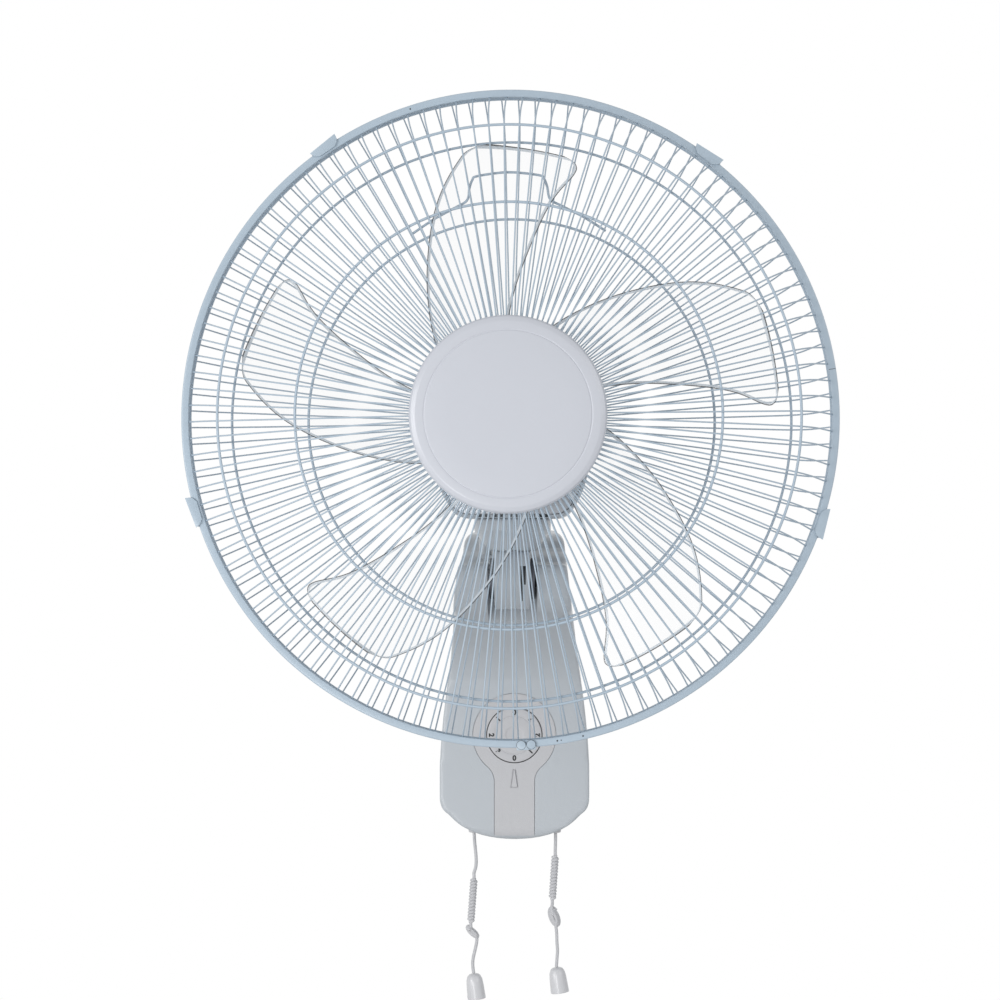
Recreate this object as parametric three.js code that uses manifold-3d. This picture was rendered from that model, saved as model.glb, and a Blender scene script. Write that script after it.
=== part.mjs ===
// A wall mounted fan, in millimetres, +Z up. It faces -Y and the wall is the plane Y = 0.
// The origin is on the wall, at the middle of the bracket.

import * as THREE from 'three';
import { mergeVertices } from 'three/addons/utils/BufferGeometryUtils.js';
import Module from 'manifold-3d';

const wasm = await Module();
wasm.setup();

// ---- Driving sizes ----

const GAP = 0.3; // between pieces that touch
const RUNNING = 0.35; // round a shaft that turns

const FAN_AXIS_Z = 190; // the fan's axis above the origin
const PAN_Y = -150; // the upright axis that the head swings on
const PAN_TO_RIM = 100; // from that axis forward to the middle of the rim
const TILT_Z = 82; // the bolt that the head tilts on

const RIM_R = 220;
const RIM_WALL = 1.2;
const RIM_WIDTH = 16;
const RIM_LIP = 5; // how far the channel's front and back reach inwards
const EDGE_WIRE_R = 1.8; // the thick wire at each guard's edge
const WIRE_R = 0.65; // the thin radial wires
const BAND_WIRE_R = 0.95; // the rings across them
const WIRES = 60;

const BAND_SIDES = 24;
const WELDS = 3;

const FRONT_HUB_R = 61;
const FRONT_HUB_IN_R = 50;
const FRONT_HUB_Y = -62;
const SHOULDER_IN = 22; // how far inside the rim the wires bend
const FRONT_SHOULDER_R = RIM_R - SHOULDER_IN;
const FRONT_SHOULDER_Y = -38;
const REAR_HUB_R = 58;
const REAR_HUB_Y = 64.5;
const REAR_SHOULDER_R = FRONT_SHOULDER_R + 1;
const REAR_SHOULDER_Y = 42;
const HUB_RING_DEPTH = 4;
const OUTER_BAND_R = FRONT_SHOULDER_R - 4;
const INNER_BAND_R = OUTER_BAND_R - 54;

const CAP_R = 64.6;
const CAP_STEP_R = 54.6;
const CAP_FRONT_Y = -68;
const CAP_WALL = 2;

const BLADES = 5;
const BLADE_TIP_R = RIM_R - 37;
const BLADE_THICK = 2.2;
const BLADE_HUB_R = 38;
const BLADE_HUB_FRONT_Y = -38;
const BLADE_HUB_BACK_Y = 12;
const SHAFT_R = 4;
const SHAFT_FRONT_Y = -44;
const SHAFT_BACK_Y = 138;
const FIRST_BLADE = 2.3; // degrees

const STATOR_R = 45;
const STATOR_BORE_R = 26;
const STATOR_FRONT_Y = 92;
const STATOR_LONG = 24;
const WINDING_LONG = 11;
const WINDING_R = 40;
const AIR_GAP = 0.6;
const SHIELD_WALL = 2.2;
const SHIELD_FRONT_Y = 66.8;
const SHIELD_BACK_Y = 132;
const NOSE_R = 15;
const NOSE_FRONT_Y = 50;
const BEARING_R = 9;
const BEARING_LONG = 7;

const COVER_HALF_WIDE = 56;
const COVER_TOP = 56;
const COVER_BOTTOM = 66;
const COVER_CHIN_HALF = 40;
const COVER_FRONT_Y = 68;
const COVER_BACK_Y = 160;
const COVER_WALL = 2.5;
const COVER_SLOTS = 5;

const KNUCKLE_HALF = 12.5;
const KNUCKLE_R = 22;
const KNUCKLE_TOP_Z = 101;
const POST_R = 6;
const POST_TOP_Z = 126;
const BUSH_WALL = 2.2;
const NECK_TOP_R = 27;
const NECK_BOTTOM_R = 17;
const NECK_STEM_HALF = 12;
const BOLT_R = 4;
const FORK_THICK = 3;
const FORK_R = 15;
const SLOT_HALF = 17.5;
const STUD_X = -20;
const STUD_Y = -124;
const STUD_R = 3;
const LINK_Z = 110;
const LINK_THICK = 2.7;
const CRANK_X = 14;
const CRANK_Y = -114;
const CRANK_THROW = 7;
const CRANK_R = 9;
const DRIVE_R = 13; // the small motor that swings the head

const CASE_WALL = 2.5;
const CASE_BACK_Y = -2.1;
const CASE_SPLIT_Y = -28;
const CASE_FRONT_Y = -78;
const CASE_BOTTOM_Z = -110.4;
const CASE_TOP_Z = 117;
const CASE_HALF_WIDE = 54.75;
const CASE_TOP_HALF = 37;
const NOSE_FRONT = -162;
const SHOULDER_Z = 92;

const DIAL_Z = -33.6;
const DIAL_R = 20.2;
const DIAL_THICK = 2.6;
const DIAL_PROUD = 0.6;
const SURROUND_R = 30.6;
const SURROUND_HALF = 14.9;
const SURROUND_HOLLOW = 14;
const SURROUND_DEEP = 1.6;
const SPINDLE_R = 3;

const CORD_X = 30;
const CORD_Y = -62;
const CORD_R = 1.2;
const CORD_SIDES = 6;
const CORD_EXIT_Z = -105;
const LEVER_THICK = 4;
const LEVER_HALF = 2.4;
const LEVER_TO_CORD = 0.8;
const LEVER_Y = CORD_Y;
const SWITCH_DEEP = 9;
const SPEED_SWITCH_HALF = 16;
const LEFT_LEVER_ARM = 14.5;
const LEFT_PIVOT_Z = -80;

const BRACKET_WIDE = 84;
const BRACKET_TALL = 130;
const BRACKET_THICK = 1.8;

const RIM_CLIP_ANGLES = [53, 124.3, 196.5, 341.4];
const RIM_LOCK_ANGLE = 272.9;
const CLIP_LONG = 20;
const CLIP_THICK = 1.2;
const CLIP_PROUD = 3.4; // the flared end; the other end stands out half as far
const CLIP_HOOK = 3.6;

// ---- Materials ----

const paint = (color, roughness, metalness = 0) => new THREE.MeshStandardMaterial({ color, roughness, metalness });
const WIRE_PAINT = paint(0xb4c6d2, 0.4, 0.1);
const SHELL = paint(0xc6c9cc, 0.45);
const CAP_SHELL = paint(0xd0d3da, 0.35);
const TRIM = paint(0xc9c9ca, 0.5);
const STEEL = paint(0x9a9da0, 0.35, 0.9);
const DARK = paint(0x2b2d30, 0.7);
const COPPER = paint(0xb5683a, 0.4, 0.8);
const CORD = paint(0xd5d5d6, 0.9);
const BRASS = paint(0xb99b55, 0.4, 0.8);
const CLEAR = new THREE.MeshStandardMaterial({ color: 0xe6edf0, roughness: 0.1, transparent: true, opacity: 0.3 });

// ---- Making solids ----

const radians = THREE.MathUtils.degToRad;

function manifoldOf(geometry) {
  const bare = geometry.clone();
  bare.deleteAttribute('normal');
  bare.deleteAttribute('uv');
  const merged = mergeVertices(bare, 1e-5);
  return new wasm.Manifold(new wasm.Mesh({
    numProp: 3,
    vertProperties: new Float32Array(merged.attributes.position.array),
    triVerts: new Uint32Array(merged.index.array),
  }));
}

function geometryOf(manifold) {
  const mesh = manifold.getMesh();
  const geometry = new THREE.BufferGeometry();
  geometry.setAttribute('position', new THREE.BufferAttribute(Float32Array.from(mesh.vertProperties), 3));
  geometry.setIndex(new THREE.BufferAttribute(Uint32Array.from(mesh.triVerts), 1));
  geometry.computeVertexNormals();
  return geometry;
}

const join = (...shapes) => geometryOf(wasm.Manifold.union(shapes.map(manifoldOf)));
const cut = (shape, ...tools) => geometryOf(tools.reduce((rest, tool) => rest.subtract(manifoldOf(tool)), manifoldOf(shape)));
const common = (a, b) => geometryOf(manifoldOf(a).intersect(manifoldOf(b)));

function box(low, high) {
  const size = high.map((value, i) => value - low[i]);
  const middle = high.map((value, i) => (value + low[i]) / 2);
  return new THREE.BoxGeometry(...size).translate(...middle);
}

// A round bar from one height to another on an upright axis, or on the axis named.
function bar(radius, from, to, [a, b], axis = 'z', sides = 14) {
  const shape = new THREE.CylinderGeometry(radius, radius, to - from, sides).translate(0, (from + to) / 2, 0);
  if (axis === 'x') return shape.rotateZ(-Math.PI / 2).translate(0, a, b);
  if (axis === 'y') return shape.translate(a, 0, b);
  return shape.rotateX(Math.PI / 2).translate(a, b, 0);
}

// A shape turned about the Y axis; each point is [radius, y].
function turned(points, sides = 32) {
  const profile = points.map(([radius, y]) => new THREE.Vector2(radius, y));
  let area = 0;
  for (let i = 0; i < profile.length; i++) {
    const next = profile[(i + 1) % profile.length];
    area += profile[i].x * next.y - next.x * profile[i].y;
  }
  if (area < 0) profile.reverse();
  const onAxis = profile[0].x === 0 && profile[profile.length - 1].x === 0;
  if (!onAxis) profile.push(profile[0].clone());
  return withoutFlats(new THREE.LatheGeometry(profile, sides));
}

// A turned shape has triangles of no area where it meets its axis, and they are left out.
function withoutFlats(geometry) {
  geometry.deleteAttribute('normal');
  geometry.deleteAttribute('uv');
  const merged = mergeVertices(geometry, 1e-5);
  const index = merged.index.array;
  const kept = [];
  for (let i = 0; i < index.length; i += 3) {
    const [a, b, c] = index.slice(i, i + 3);
    if (a !== b && b !== c && c !== a) kept.push(a, b, c);
  }
  merged.setIndex(kept);
  merged.computeVertexNormals();
  return merged;
}

// The same about an upright axis; each point is [radius, z].
const turnedUp = (points, sides, x, y) => turned(points, sides).rotateX(Math.PI / 2).translate(x, y, 0);

// A flat outline, [x, z] or a THREE.Shape, given thickness from one Y to another.
function slab(outline, front, back, curveSegments = 6) {
  const shape = outline instanceof THREE.Shape ? outline : new THREE.Shape(outline.map(([x, z]) => new THREE.Vector2(x, z)));
  const solid = new THREE.ExtrudeGeometry(shape, { depth: back - front, bevelEnabled: false, curveSegments });
  return solid.rotateX(Math.PI / 2).translate(0, back, 0);
}

// A side outline, [y, z], given a width across X.
function acrossX(shape, half, curveSegments = 3) {
  const solid = new THREE.ExtrudeGeometry(shape, { depth: 2 * half, bevelEnabled: false, curveSegments });
  const turn = new THREE.Matrix4().makeBasis(new THREE.Vector3(0, 1, 0), new THREE.Vector3(0, 0, 1), new THREE.Vector3(1, 0, 0));
  return solid.applyMatrix4(turn).translate(-half, 0, 0);
}

// A round section carried along points, closed at both ends or joined end to end.
function swept(points, radius, sides, closed = false) {
  const path = points.map((p) => new THREE.Vector3(...p));
  const count = path.length;
  const direction = (i) => {
    const before = path[closed ? (i + count - 1) % count : Math.max(i - 1, 0)];
    const after = path[closed ? (i + 1) % count : Math.min(i + 1, count - 1)];
    return after.clone().sub(before).normalize();
  };
  let across = new THREE.Vector3(0, 1, 0);
  if (Math.abs(direction(0).y) > 0.9) across.set(1, 0, 0);
  const positions = [];
  for (let i = 0; i < count; i++) {
    const along = direction(i);
    across = across.clone().addScaledVector(along, -across.dot(along)).normalize();
    const other = along.clone().cross(across);
    for (let k = 0; k < sides; k++) {
      const turn = (2 * Math.PI * k) / sides;
      const p = path[i].clone().addScaledVector(across, radius * Math.cos(turn)).addScaledVector(other, radius * Math.sin(turn));
      positions.push(p.x, p.y, p.z);
    }
  }
  const index = [];
  const spans = closed ? count : count - 1;
  for (let i = 0; i < spans; i++) {
    for (let k = 0; k < sides; k++) {
      const a = i * sides + k;
      const b = i * sides + ((k + 1) % sides);
      const c = ((i + 1) % count) * sides + k;
      const d = ((i + 1) % count) * sides + ((k + 1) % sides);
      index.push(a, b, c, b, d, c);
    }
  }
  for (let k = 1; !closed && k < sides - 1; k++) {
    const end = (count - 1) * sides;
    index.push(0, k + 1, k, end, end + k, end + k + 1);
  }
  const geometry = new THREE.BufferGeometry();
  geometry.setAttribute('position', new THREE.Float32BufferAttribute(positions, 3));
  geometry.setIndex(index);
  geometry.computeVertexNormals();
  return geometry;
}

const around = (radius, degrees, y) => [radius * Math.cos(radians(degrees)), y, radius * Math.sin(radians(degrees))];
const ringPoints = (radius, y, count) => Array.from({ length: count }, (_, i) => around(radius, (i * 360) / count, y));

// ---- The object ----

const fan = new THREE.Group();
const head = new THREE.Group(); // its origin is at the middle of the rim, on the fan's axis
head.position.set(0, PAN_Y - PAN_TO_RIM, FAN_AXIS_Z);
fan.add(head);

function add(parent, name, geometry, material) {
  const mesh = new THREE.Mesh(geometry, material);
  mesh.name = name;
  parent.add(mesh);
  return mesh;
}

// ---- Wall bracket ----

function wallBracket() {
  const halfWide = BRACKET_WIDE / 2;
  const halfTall = BRACKET_TALL / 2;
  const plate = box([-halfWide, -BRACKET_THICK, -halfTall], [halfWide, 0, halfTall]);
  const keyholes = [[-28, 44], [28, 44], [0, -50]].flatMap(([x, z]) => [
    bar(4.5, -BRACKET_THICK - 1, 1, [x, z], 'y', 12),
    box([x - 2.4, -BRACKET_THICK - 1, z], [x + 2.4, 1, z + 9]),
  ]);
  const tabs = [-1, 1].map((side) => hookTab(side, 0));
  return cut(join(plate, ...tabs), ...keyholes);
}

// The folded tab that the case hangs on; with room round it, it is the slot in the case.
function hookTab(side, room) {
  const middle = side * 24;
  return box([middle - 9 - room, -9 - room, 20 - room], [middle + 9 + room, -BRACKET_THICK + 0.5, 22.5 + room]);
}

// ---- The case: one hollow body, split into a back and a front ----

function caseFrontOutline(inset) {
  const half = (width) => width - inset;
  const bottom = CASE_BOTTOM_Z + inset;
  const top = CASE_TOP_Z - inset;
  const shape = new THREE.Shape();
  shape.moveTo(0, bottom);
  shape.quadraticCurveTo(half(34), bottom + 1, half(CASE_HALF_WIDE) - 6, bottom + 19);
  shape.quadraticCurveTo(half(CASE_HALF_WIDE), bottom + 22, half(CASE_HALF_WIDE), bottom + 30);
  shape.lineTo(half(CASE_HALF_WIDE), -57);
  shape.quadraticCurveTo(half(CASE_HALF_WIDE) - 1, -25, half(CASE_HALF_WIDE) - 7.75, 18);
  shape.lineTo(half(CASE_TOP_HALF), top - 14);
  shape.quadraticCurveTo(half(CASE_TOP_HALF), top - 2, half(CASE_TOP_HALF) - 12, top);
  const right = shape.getPoints(3);
  const left = right.slice(1).reverse().map((p) => new THREE.Vector2(-p.x, p.y));
  return new THREE.Shape([...right, ...left]);
}

function caseSideOutline(inset) {
  const front = CASE_FRONT_Y + inset;
  const bottom = CASE_BOTTOM_Z + inset;
  const nose = NOSE_FRONT + inset;
  const shape = new THREE.Shape();
  shape.moveTo(CASE_BACK_Y - inset, bottom);
  shape.lineTo(CASE_BACK_Y - inset, CASE_TOP_Z - inset);
  shape.lineTo(-66 + inset, CASE_TOP_Z - 3 - inset);
  shape.quadraticCurveTo(-84 + inset, CASE_TOP_Z - 4 - inset, -89 + inset, SHOULDER_Z + 10 - inset);
  shape.quadraticCurveTo(-104, SHOULDER_Z + 8 - inset, -112, SHOULDER_Z - inset);
  shape.lineTo(nose + 9, SHOULDER_Z - inset);
  shape.quadraticCurveTo(nose, SHOULDER_Z - inset, nose, SHOULDER_Z - 10);
  shape.lineTo(nose, 72);
  shape.quadraticCurveTo(nose, 60 + inset, nose + 14, 57 + inset);
  shape.quadraticCurveTo(-92 + inset, 48 + inset, front, 6);
  shape.lineTo(front, bottom + 9);
  shape.quadraticCurveTo(front, bottom, front + 8, bottom);
  return shape;
}

const caseSolid = (inset) => common(slab(caseFrontOutline(inset), -200, 0), acrossX(caseSideOutline(inset), 70));

// The slot in the arm that the knuckle tilts in, and its walls.
const SLOT_BACK_Y = PAN_Y + KNUCKLE_R + GAP + FORK_THICK + 2 * GAP;
const slotSpace = (wall) => box([-SLOT_HALF - wall, -200, 30 - wall], [SLOT_HALF + wall, SLOT_BACK_Y + wall, 130]);

function caseShell() {
  const hollow = cut(caseSolid(CASE_WALL), slotSpace(CASE_WALL));
  return cut(caseSolid(0), hollow, slotSpace(0));
}

const SCREW_R = 1.7;
const CASE_SCREWS = [
  ...[-1, 1].map((side) => [side * (CASE_HALF_WIDE - 12.75), -78]),
  ...[-1, 1].map((side) => [side * (CASE_HALF_WIDE - 18.75), 31]),
];
const BOSS_R = 4;

// The outline of the dial's surround: a disc that runs over into a straight tail through a hollow curve.
function keyhole(inset) {
  const radius = SURROUND_R - inset;
  const half = SURROUND_HALF - inset;
  const hollow = SURROUND_HOLLOW + inset;
  const reach = Math.acos((half + hollow) / (radius + hollow)); // from the curve's middle up to the disc's
  const middleZ = DIAL_Z - (radius + hollow) * Math.sin(reach);
  const curve = [0, 1, 2, 3].map((k) => Math.PI - (k / 3) * reach)
    .map((turn) => [half + hollow + hollow * Math.cos(turn), middleZ + hollow * Math.sin(turn)]);
  const shape = new THREE.Shape();
  shape.moveTo(half, CASE_BOTTOM_Z - 5);
  for (const [x, z] of curve) shape.lineTo(x, z);
  shape.absarc(0, DIAL_Z, radius, -reach, Math.PI + reach, false);
  for (const [x, z] of curve.reverse()) shape.lineTo(-x, z);
  shape.lineTo(-half, CASE_BOTTOM_Z - 5);
  return shape;
}

const SURROUND_BACK_Y = CASE_FRONT_Y + SURROUND_DEEP;

function frontCase() {
  const front = common(caseShell(), box([-80, -200, -150], [80, CASE_SPLIT_Y, 150]));
  const bosses = common(join(...CASE_SCREWS.map((place) => bar(BOSS_R, -120, CASE_SPLIT_Y, place, 'y', 8))), caseSolid(1));
  const seat = box([-SURROUND_R - 3, SURROUND_BACK_Y - 0.5, CASE_BOTTOM_Z + CASE_WALL + 2], [SURROUND_R + 3, SWITCH_FRONT_Y - GAP, DIAL_Z + SURROUND_R + 3]);
  const solid = join(front, seat, bosses);
  return cut(
    solid,
    slab(keyhole(0), CASE_FRONT_Y - 5, SURROUND_BACK_Y, 16),
    bar(DIAL_R + 0.4, CASE_FRONT_Y - 5, -60, [0, DIAL_Z], 'y', 24),
    bar(BOLT_R * 2 + GAP, -SLOT_HALF - CASE_WALL - 1, SLOT_HALF + CASE_WALL + 1, [PAN_Y, TILT_Z], 'x', 16),
    ...CASE_SCREWS.map(([x, z]) => bar(SCREW_R + GAP, -46, CASE_SPLIT_Y + 1, [x, z], 'y', 8)),
    ...[-1, 1].map((side) => bar(BUSH_R + GAP, -125, -95, [side * CORD_X, CORD_Y], 'z', 16)),
  );
}

function rearCase() {
  const rear = common(caseShell(), box([-80, CASE_SPLIT_Y + GAP, -150], [80, 0, 150]));
  const posts = CASE_SCREWS.map(([x, z]) => bar(BOSS_R + 1, CASE_SPLIT_Y + GAP, CASE_BACK_Y - 1, [x, z], 'y', 8));
  return cut(
    join(rear, ...posts),
    ...CASE_SCREWS.map(([x, z]) => bar(SCREW_R + GAP, CASE_SPLIT_Y - 1, 0, [x, z], 'y', 8)),
    ...CASE_SCREWS.map(([x, z]) => bar(3.6, -12, 0, [x, z], 'y', 8)),
    ...[-1, 1].map((side) => hookTab(side, 0.5)),
    bar(GLAND_R + GAP, -125, -95, [0, GLAND_Y], 'z', 16),
  );
}

function caseScrew([x, z]) {
  return join(bar(3.2, -11.7, -9.2, [x, z], 'y', 8), bar(SCREW_R, -45, -9.2, [x, z], 'y', 8));
}

// ---- Cord bushes and the mains inlet ----

const BUSH_R = 4;
const GLAND_R = 6.5;
const GLAND_Y = -15;

function sleeve(radius, bore, low, high, x, y) {
  return turnedUp([[bore, low], [radius, low], [radius, high], [bore, high]], 12, x, y);
}

// ---- Dial, its surround and the switches ----

const SWITCH_FRONT_Y = CASE_FRONT_Y + 3.3;
const SWITCH_BACK_Y = SWITCH_FRONT_Y + SWITCH_DEEP;
const POINTER_TOP_Z = -58.8;
const POINTER_TALL = 13;
const POINTER_WIDE = 5;

function dialSurround() {
  const inlay = slab(keyhole(GAP), CASE_FRONT_Y, SURROUND_BACK_Y - GAP, 16);
  const plate = cut(common(inlay, caseSolid(0)), bar(DIAL_R + 0.4, -90, -60, [0, DIAL_Z], 'y', 24));
  const low = POINTER_TOP_Z - POINTER_TALL;
  const pointer = slab([[-POINTER_WIDE / 2, low], [POINTER_WIDE / 2, low], [0, POINTER_TOP_Z]], CASE_FRONT_Y - 0.8, CASE_FRONT_Y + 0.5);
  return join(plate, pointer);
}

function speedDial() {
  const front = CASE_FRONT_Y - DIAL_PROUD;
  const back = front + DIAL_THICK;
  const face = turned([
    [0, front + 0.4], [6.4, front + 0.4], [7, front], [DIAL_R - 0.8, front], [DIAL_R - 0.2, front + 0.6], [DIAL_R - 0.2, back],
    [SPINDLE_R, back], [SPINDLE_R, LEVER_Y + LEVER_THICK / 2 + 2], [0, LEVER_Y + LEVER_THICK / 2 + 2],
  ], 24);
  return face.translate(0, 0, DIAL_Z);
}

function speedSwitch() {
  const half = SPEED_SWITCH_HALF;
  const body = box([-half, SWITCH_FRONT_Y, DIAL_Z - half], [half, SWITCH_BACK_Y, DIAL_Z + half]);
  return cut(body, bar(SPINDLE_R + RUNNING, -90, -40, [0, DIAL_Z], 'y', 16));
}

function oscillationSwitch() {
  const x = -CORD_X + LEFT_LEVER_ARM;
  const body = box([x - 12, SWITCH_FRONT_Y, LEFT_PIVOT_Z - 10], [x + 12, SWITCH_BACK_Y, LEFT_PIVOT_Z + 10]);
  return join(body, bar(SPINDLE_R, SWITCH_BACK_Y - 1, LEVER_Y + LEVER_THICK / 2 + 2, [x, LEFT_PIVOT_Z], 'y', 12));
}

// A lever on a spindle, whose arm reaches out over the top of its cord.
function switchLever(x, z, reach) {
  const front = LEVER_Y - LEVER_THICK / 2;
  const back = LEVER_Y + LEVER_THICK / 2;
  const low = Math.min(0, reach);
  const high = Math.max(0, reach);
  const arm = box([x + low, front, z - LEVER_HALF], [x + high, back, z + LEVER_HALF]);
  return cut(join(arm, bar(7, front, back, [x, z], 'y', 16)), bar(SPINDLE_R + RUNNING, -80, -40, [x, z], 'y', 16));
}

// ---- Pull cords ----

const KNOB_R = 6.8;
const KNOB_TALL = 19;
const WINDING_LOOP_R = 1.9;
const WINDING_PITCH = 4.2;
const WINDING_STEPS = 10;
const WINDING_SIDES = 4;
const LOOSE = GAP; // between the stretches of one cord

// Each pull hangs from its lever. The points are chosen by hand, [x, z] from the cord's exit.
const LEFT_PULL = {
  side: -1,
  top: LEFT_PIVOT_Z - LEVER_HALF - LEVER_TO_CORD - CORD_EXIT_Z,
  upper: [[0, 0], [0.4, -8], [1.2, -16], [1.8, -24], [1.5, -30], [0.4, -35]],
  loops: 7,
  lean: -2.4,
  lower: [[-2, -73.4], [0.2, -76.6], [2, -79.6], [1.9, -82.5], [0.9, -87], [-0.5, -93], [-1, -98], [-0.3, -104.6]],
  knot: [0.2, -77.2, 3.6, 5.4, -38],
  tilt: 7,
};
const RIGHT_PULL = {
  side: 1,
  top: DIAL_Z - LEVER_HALF - LEVER_TO_CORD - CORD_EXIT_Z,
  upper: [[0, 0], [0, -5], [-0.1, -10], [-0.2, -15], [-0.3, -19]],
  loops: 7,
  lean: -2.2,
  lower: [[-2.6, -58], [-2.8, -61], [-1.2, -65], [0.2, -70], [0.8, -76], [1, -82], [1.4, -88], [1, -94], [0.6, -99.8]],
  knot: [-1, -64.4, 4.6, 7.4, -14],
  tilt: 8,
};

const pullPoint = (pull, [x, z]) => [pull.side * CORD_X + x, CORD_Y, CORD_EXIT_Z + z];

function upperCord(pull) {
  return swept([[0, pull.top], [0, pull.top / 2], ...pull.upper].map((p) => pullPoint(pull, p)), CORD_R, CORD_SIDES);
}

// The cord wound round itself: straight for one diameter, then its loops, then straight again.
function windingPath(pull) {
  const [startX, startZ] = pull.upper[pull.upper.length - 1];
  const length = pull.loops * WINDING_PITCH;
  const lead = 2 * CORD_R;
  const points = [[startX, 0, startZ - LOOSE], [startX, 0, startZ - LOOSE - lead]];
  const steps = pull.loops * WINDING_STEPS;
  for (let i = 0; i <= steps; i++) {
    const share = i / steps;
    const turn = (2 * Math.PI * i) / WINDING_STEPS;
    const swell = Math.min(1, (4 * i) / WINDING_STEPS, (4 * (steps - i)) / WINDING_STEPS);
    const radius = WINDING_LOOP_R * swell;
    points.push([
      startX + pull.lean * share + radius * Math.sin(turn),
      radius * Math.cos(turn),
      startZ - LOOSE - lead - 1 - length * share,
    ]);
  }
  const [endX, , endZ] = points[points.length - 1];
  points.push([endX, 0, endZ - 1], [endX, 0, endZ - 1 - lead]);
  return points.map(([x, y, z]) => [pull.side * CORD_X + x, CORD_Y + y, CORD_EXIT_Z + z]);
}

// The least gap between parts of the winding that lie more than half a loop apart.
function leastGap(points) {
  let least = Infinity;
  for (let i = 0; i < points.length; i++) {
    for (let k = i + Math.floor(WINDING_STEPS / 2); k < points.length; k++) {
      least = Math.min(least, Math.hypot(...points[i].map((value, axis) => value - points[k][axis])) - 2 * CORD_R);
    }
  }
  return least;
}

function winding(pull) {
  const points = windingPath(pull);
  console.log(`winding on the ${pull.side < 0 ? 'left' : 'right'}: least gap to itself ${leastGap(points).toFixed(2)} mm`);
  return swept(points, CORD_R, WINDING_SIDES);
}

function lowerCord(pull) {
  const end = windingPath(pull).pop();
  const start = [end[0], CORD_Y, end[2] - LOOSE];
  const cord = swept([start, ...pull.lower.map((p) => pullPoint(pull, p))], CORD_R, CORD_SIDES);
  const [x, z, half, tall, lean] = pull.knot;
  const knot = new THREE.SphereGeometry(1, 8, 6).scale(half, half * 0.8, tall).rotateY(radians(lean));
  return join(cord, knot.translate(...pullPoint(pull, [x, z])));
}

// A bell with a domed top and a hollow underside.
function pullKnob(pull) {
  const [x, z] = pull.lower[pull.lower.length - 1];
  const tall = KNOB_TALL;
  const bell = turnedUp([
    [0, -LOOSE], [2.4, -LOOSE - 0.3], [4.6, -2], [5.8, -4.6], [KNOB_R - 0.5, -9], [KNOB_R, -tall],
    [KNOB_R - 1.4, -tall], [4, -tall + 5], [0, -tall + 5],
  ], 14, 0, 0);
  return bell.rotateY(radians(-pull.tilt)).translate(...pullPoint(pull, [x, z]));
}

// ---- Tilt: fork, bolt and knuckle ----

function tiltFork() {
  const inside = KNUCKLE_HALF + GAP;
  const outside = inside + FORK_THICK;
  const backY = SLOT_BACK_Y - GAP;
  const ears = [-outside, inside].map((x) => join(
    bar(FORK_R, x, x + FORK_THICK, [PAN_Y, TILT_Z], 'x', 16),
    box([x, PAN_Y, TILT_Z - FORK_R], [x + FORK_THICK, backY, TILT_Z + 8]),
  ));
  const web = box([-outside, backY - FORK_THICK, TILT_Z - FORK_R], [outside, backY, TILT_Z + 8]);
  const trimmed = common(join(...ears, web), box([-50, -200, 0], [50, 0, SHOULDER_Z + 4]));
  return cut(trimmed, bar(BOLT_R + RUNNING, -40, 40, [PAN_Y, TILT_Z], 'x', 16));
}

function tiltBolt() {
  const outside = KNUCKLE_HALF + FORK_THICK + 2 * GAP;
  return join(
    bar(BOLT_R, -outside - 6, outside + 1, [PAN_Y, TILT_Z], 'x', 16),
    bar(BOLT_R * 1.7, -outside - 4, -outside, [PAN_Y, TILT_Z], 'x', 6),
    bar(BOLT_R * 1.7, outside, outside + 4, [PAN_Y, TILT_Z], 'x', 6),
  );
}

function tiltKnuckle() {
  const barrel = bar(KNUCKLE_R, -KNUCKLE_HALF, KNUCKLE_HALF, [PAN_Y, TILT_Z], 'x', 20);
  const seat = turnedUp([[0, TILT_Z], [KNUCKLE_HALF, TILT_Z], [KNUCKLE_HALF, KNUCKLE_TOP_Z], [0, KNUCKLE_TOP_Z]], 18, 0, PAN_Y);
  const ear = box([STUD_X - 5, STUD_Y - 5, 94.5], [6, STUD_Y + 5, 98]);
  const arm = box([-KNUCKLE_HALF + 1, PAN_Y + 5, 94.5], [6, STUD_Y + 5, 98]);
  const stud = bar(STUD_R, 97, LINK_Z + LINK_THICK + 2, [STUD_X, STUD_Y], 'z', 14);
  const collar = bar(STUD_R + 1.6, 97, LINK_Z - GAP, [STUD_X, STUD_Y], 'z', 14);
  const trimmed = common(barrel, box([-50, -300, 0], [50, 0, KNUCKLE_TOP_Z]));
  return cut(
    join(trimmed, seat, ear, arm, stud, collar),
    bar(BOLT_R + RUNNING, -40, 40, [PAN_Y, TILT_Z], 'x', 16),
    bar(POST_R + GAP, TILT_Z + BOLT_R + 3, KNUCKLE_TOP_Z + 1, [0, PAN_Y], 'z', 14),
  );
}

function swivelPost() {
  return bar(POST_R, TILT_Z + BOLT_R + 3 + GAP, POST_TOP_Z, [0, PAN_Y], 'z', 14);
}

// ---- Neck and motor, placed from the middle of the rim ----

const BUSH_IN = POST_R + RUNNING;
const BUSH_OUT = BUSH_IN + BUSH_WALL;
const NECK_BOTTOM = KNUCKLE_TOP_Z + GAP - FAN_AXIS_Z;
const NECK_TOP = -COVER_BOTTOM - GAP;
const BUSH_TOP = POST_TOP_Z - FAN_AXIS_Z;

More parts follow.
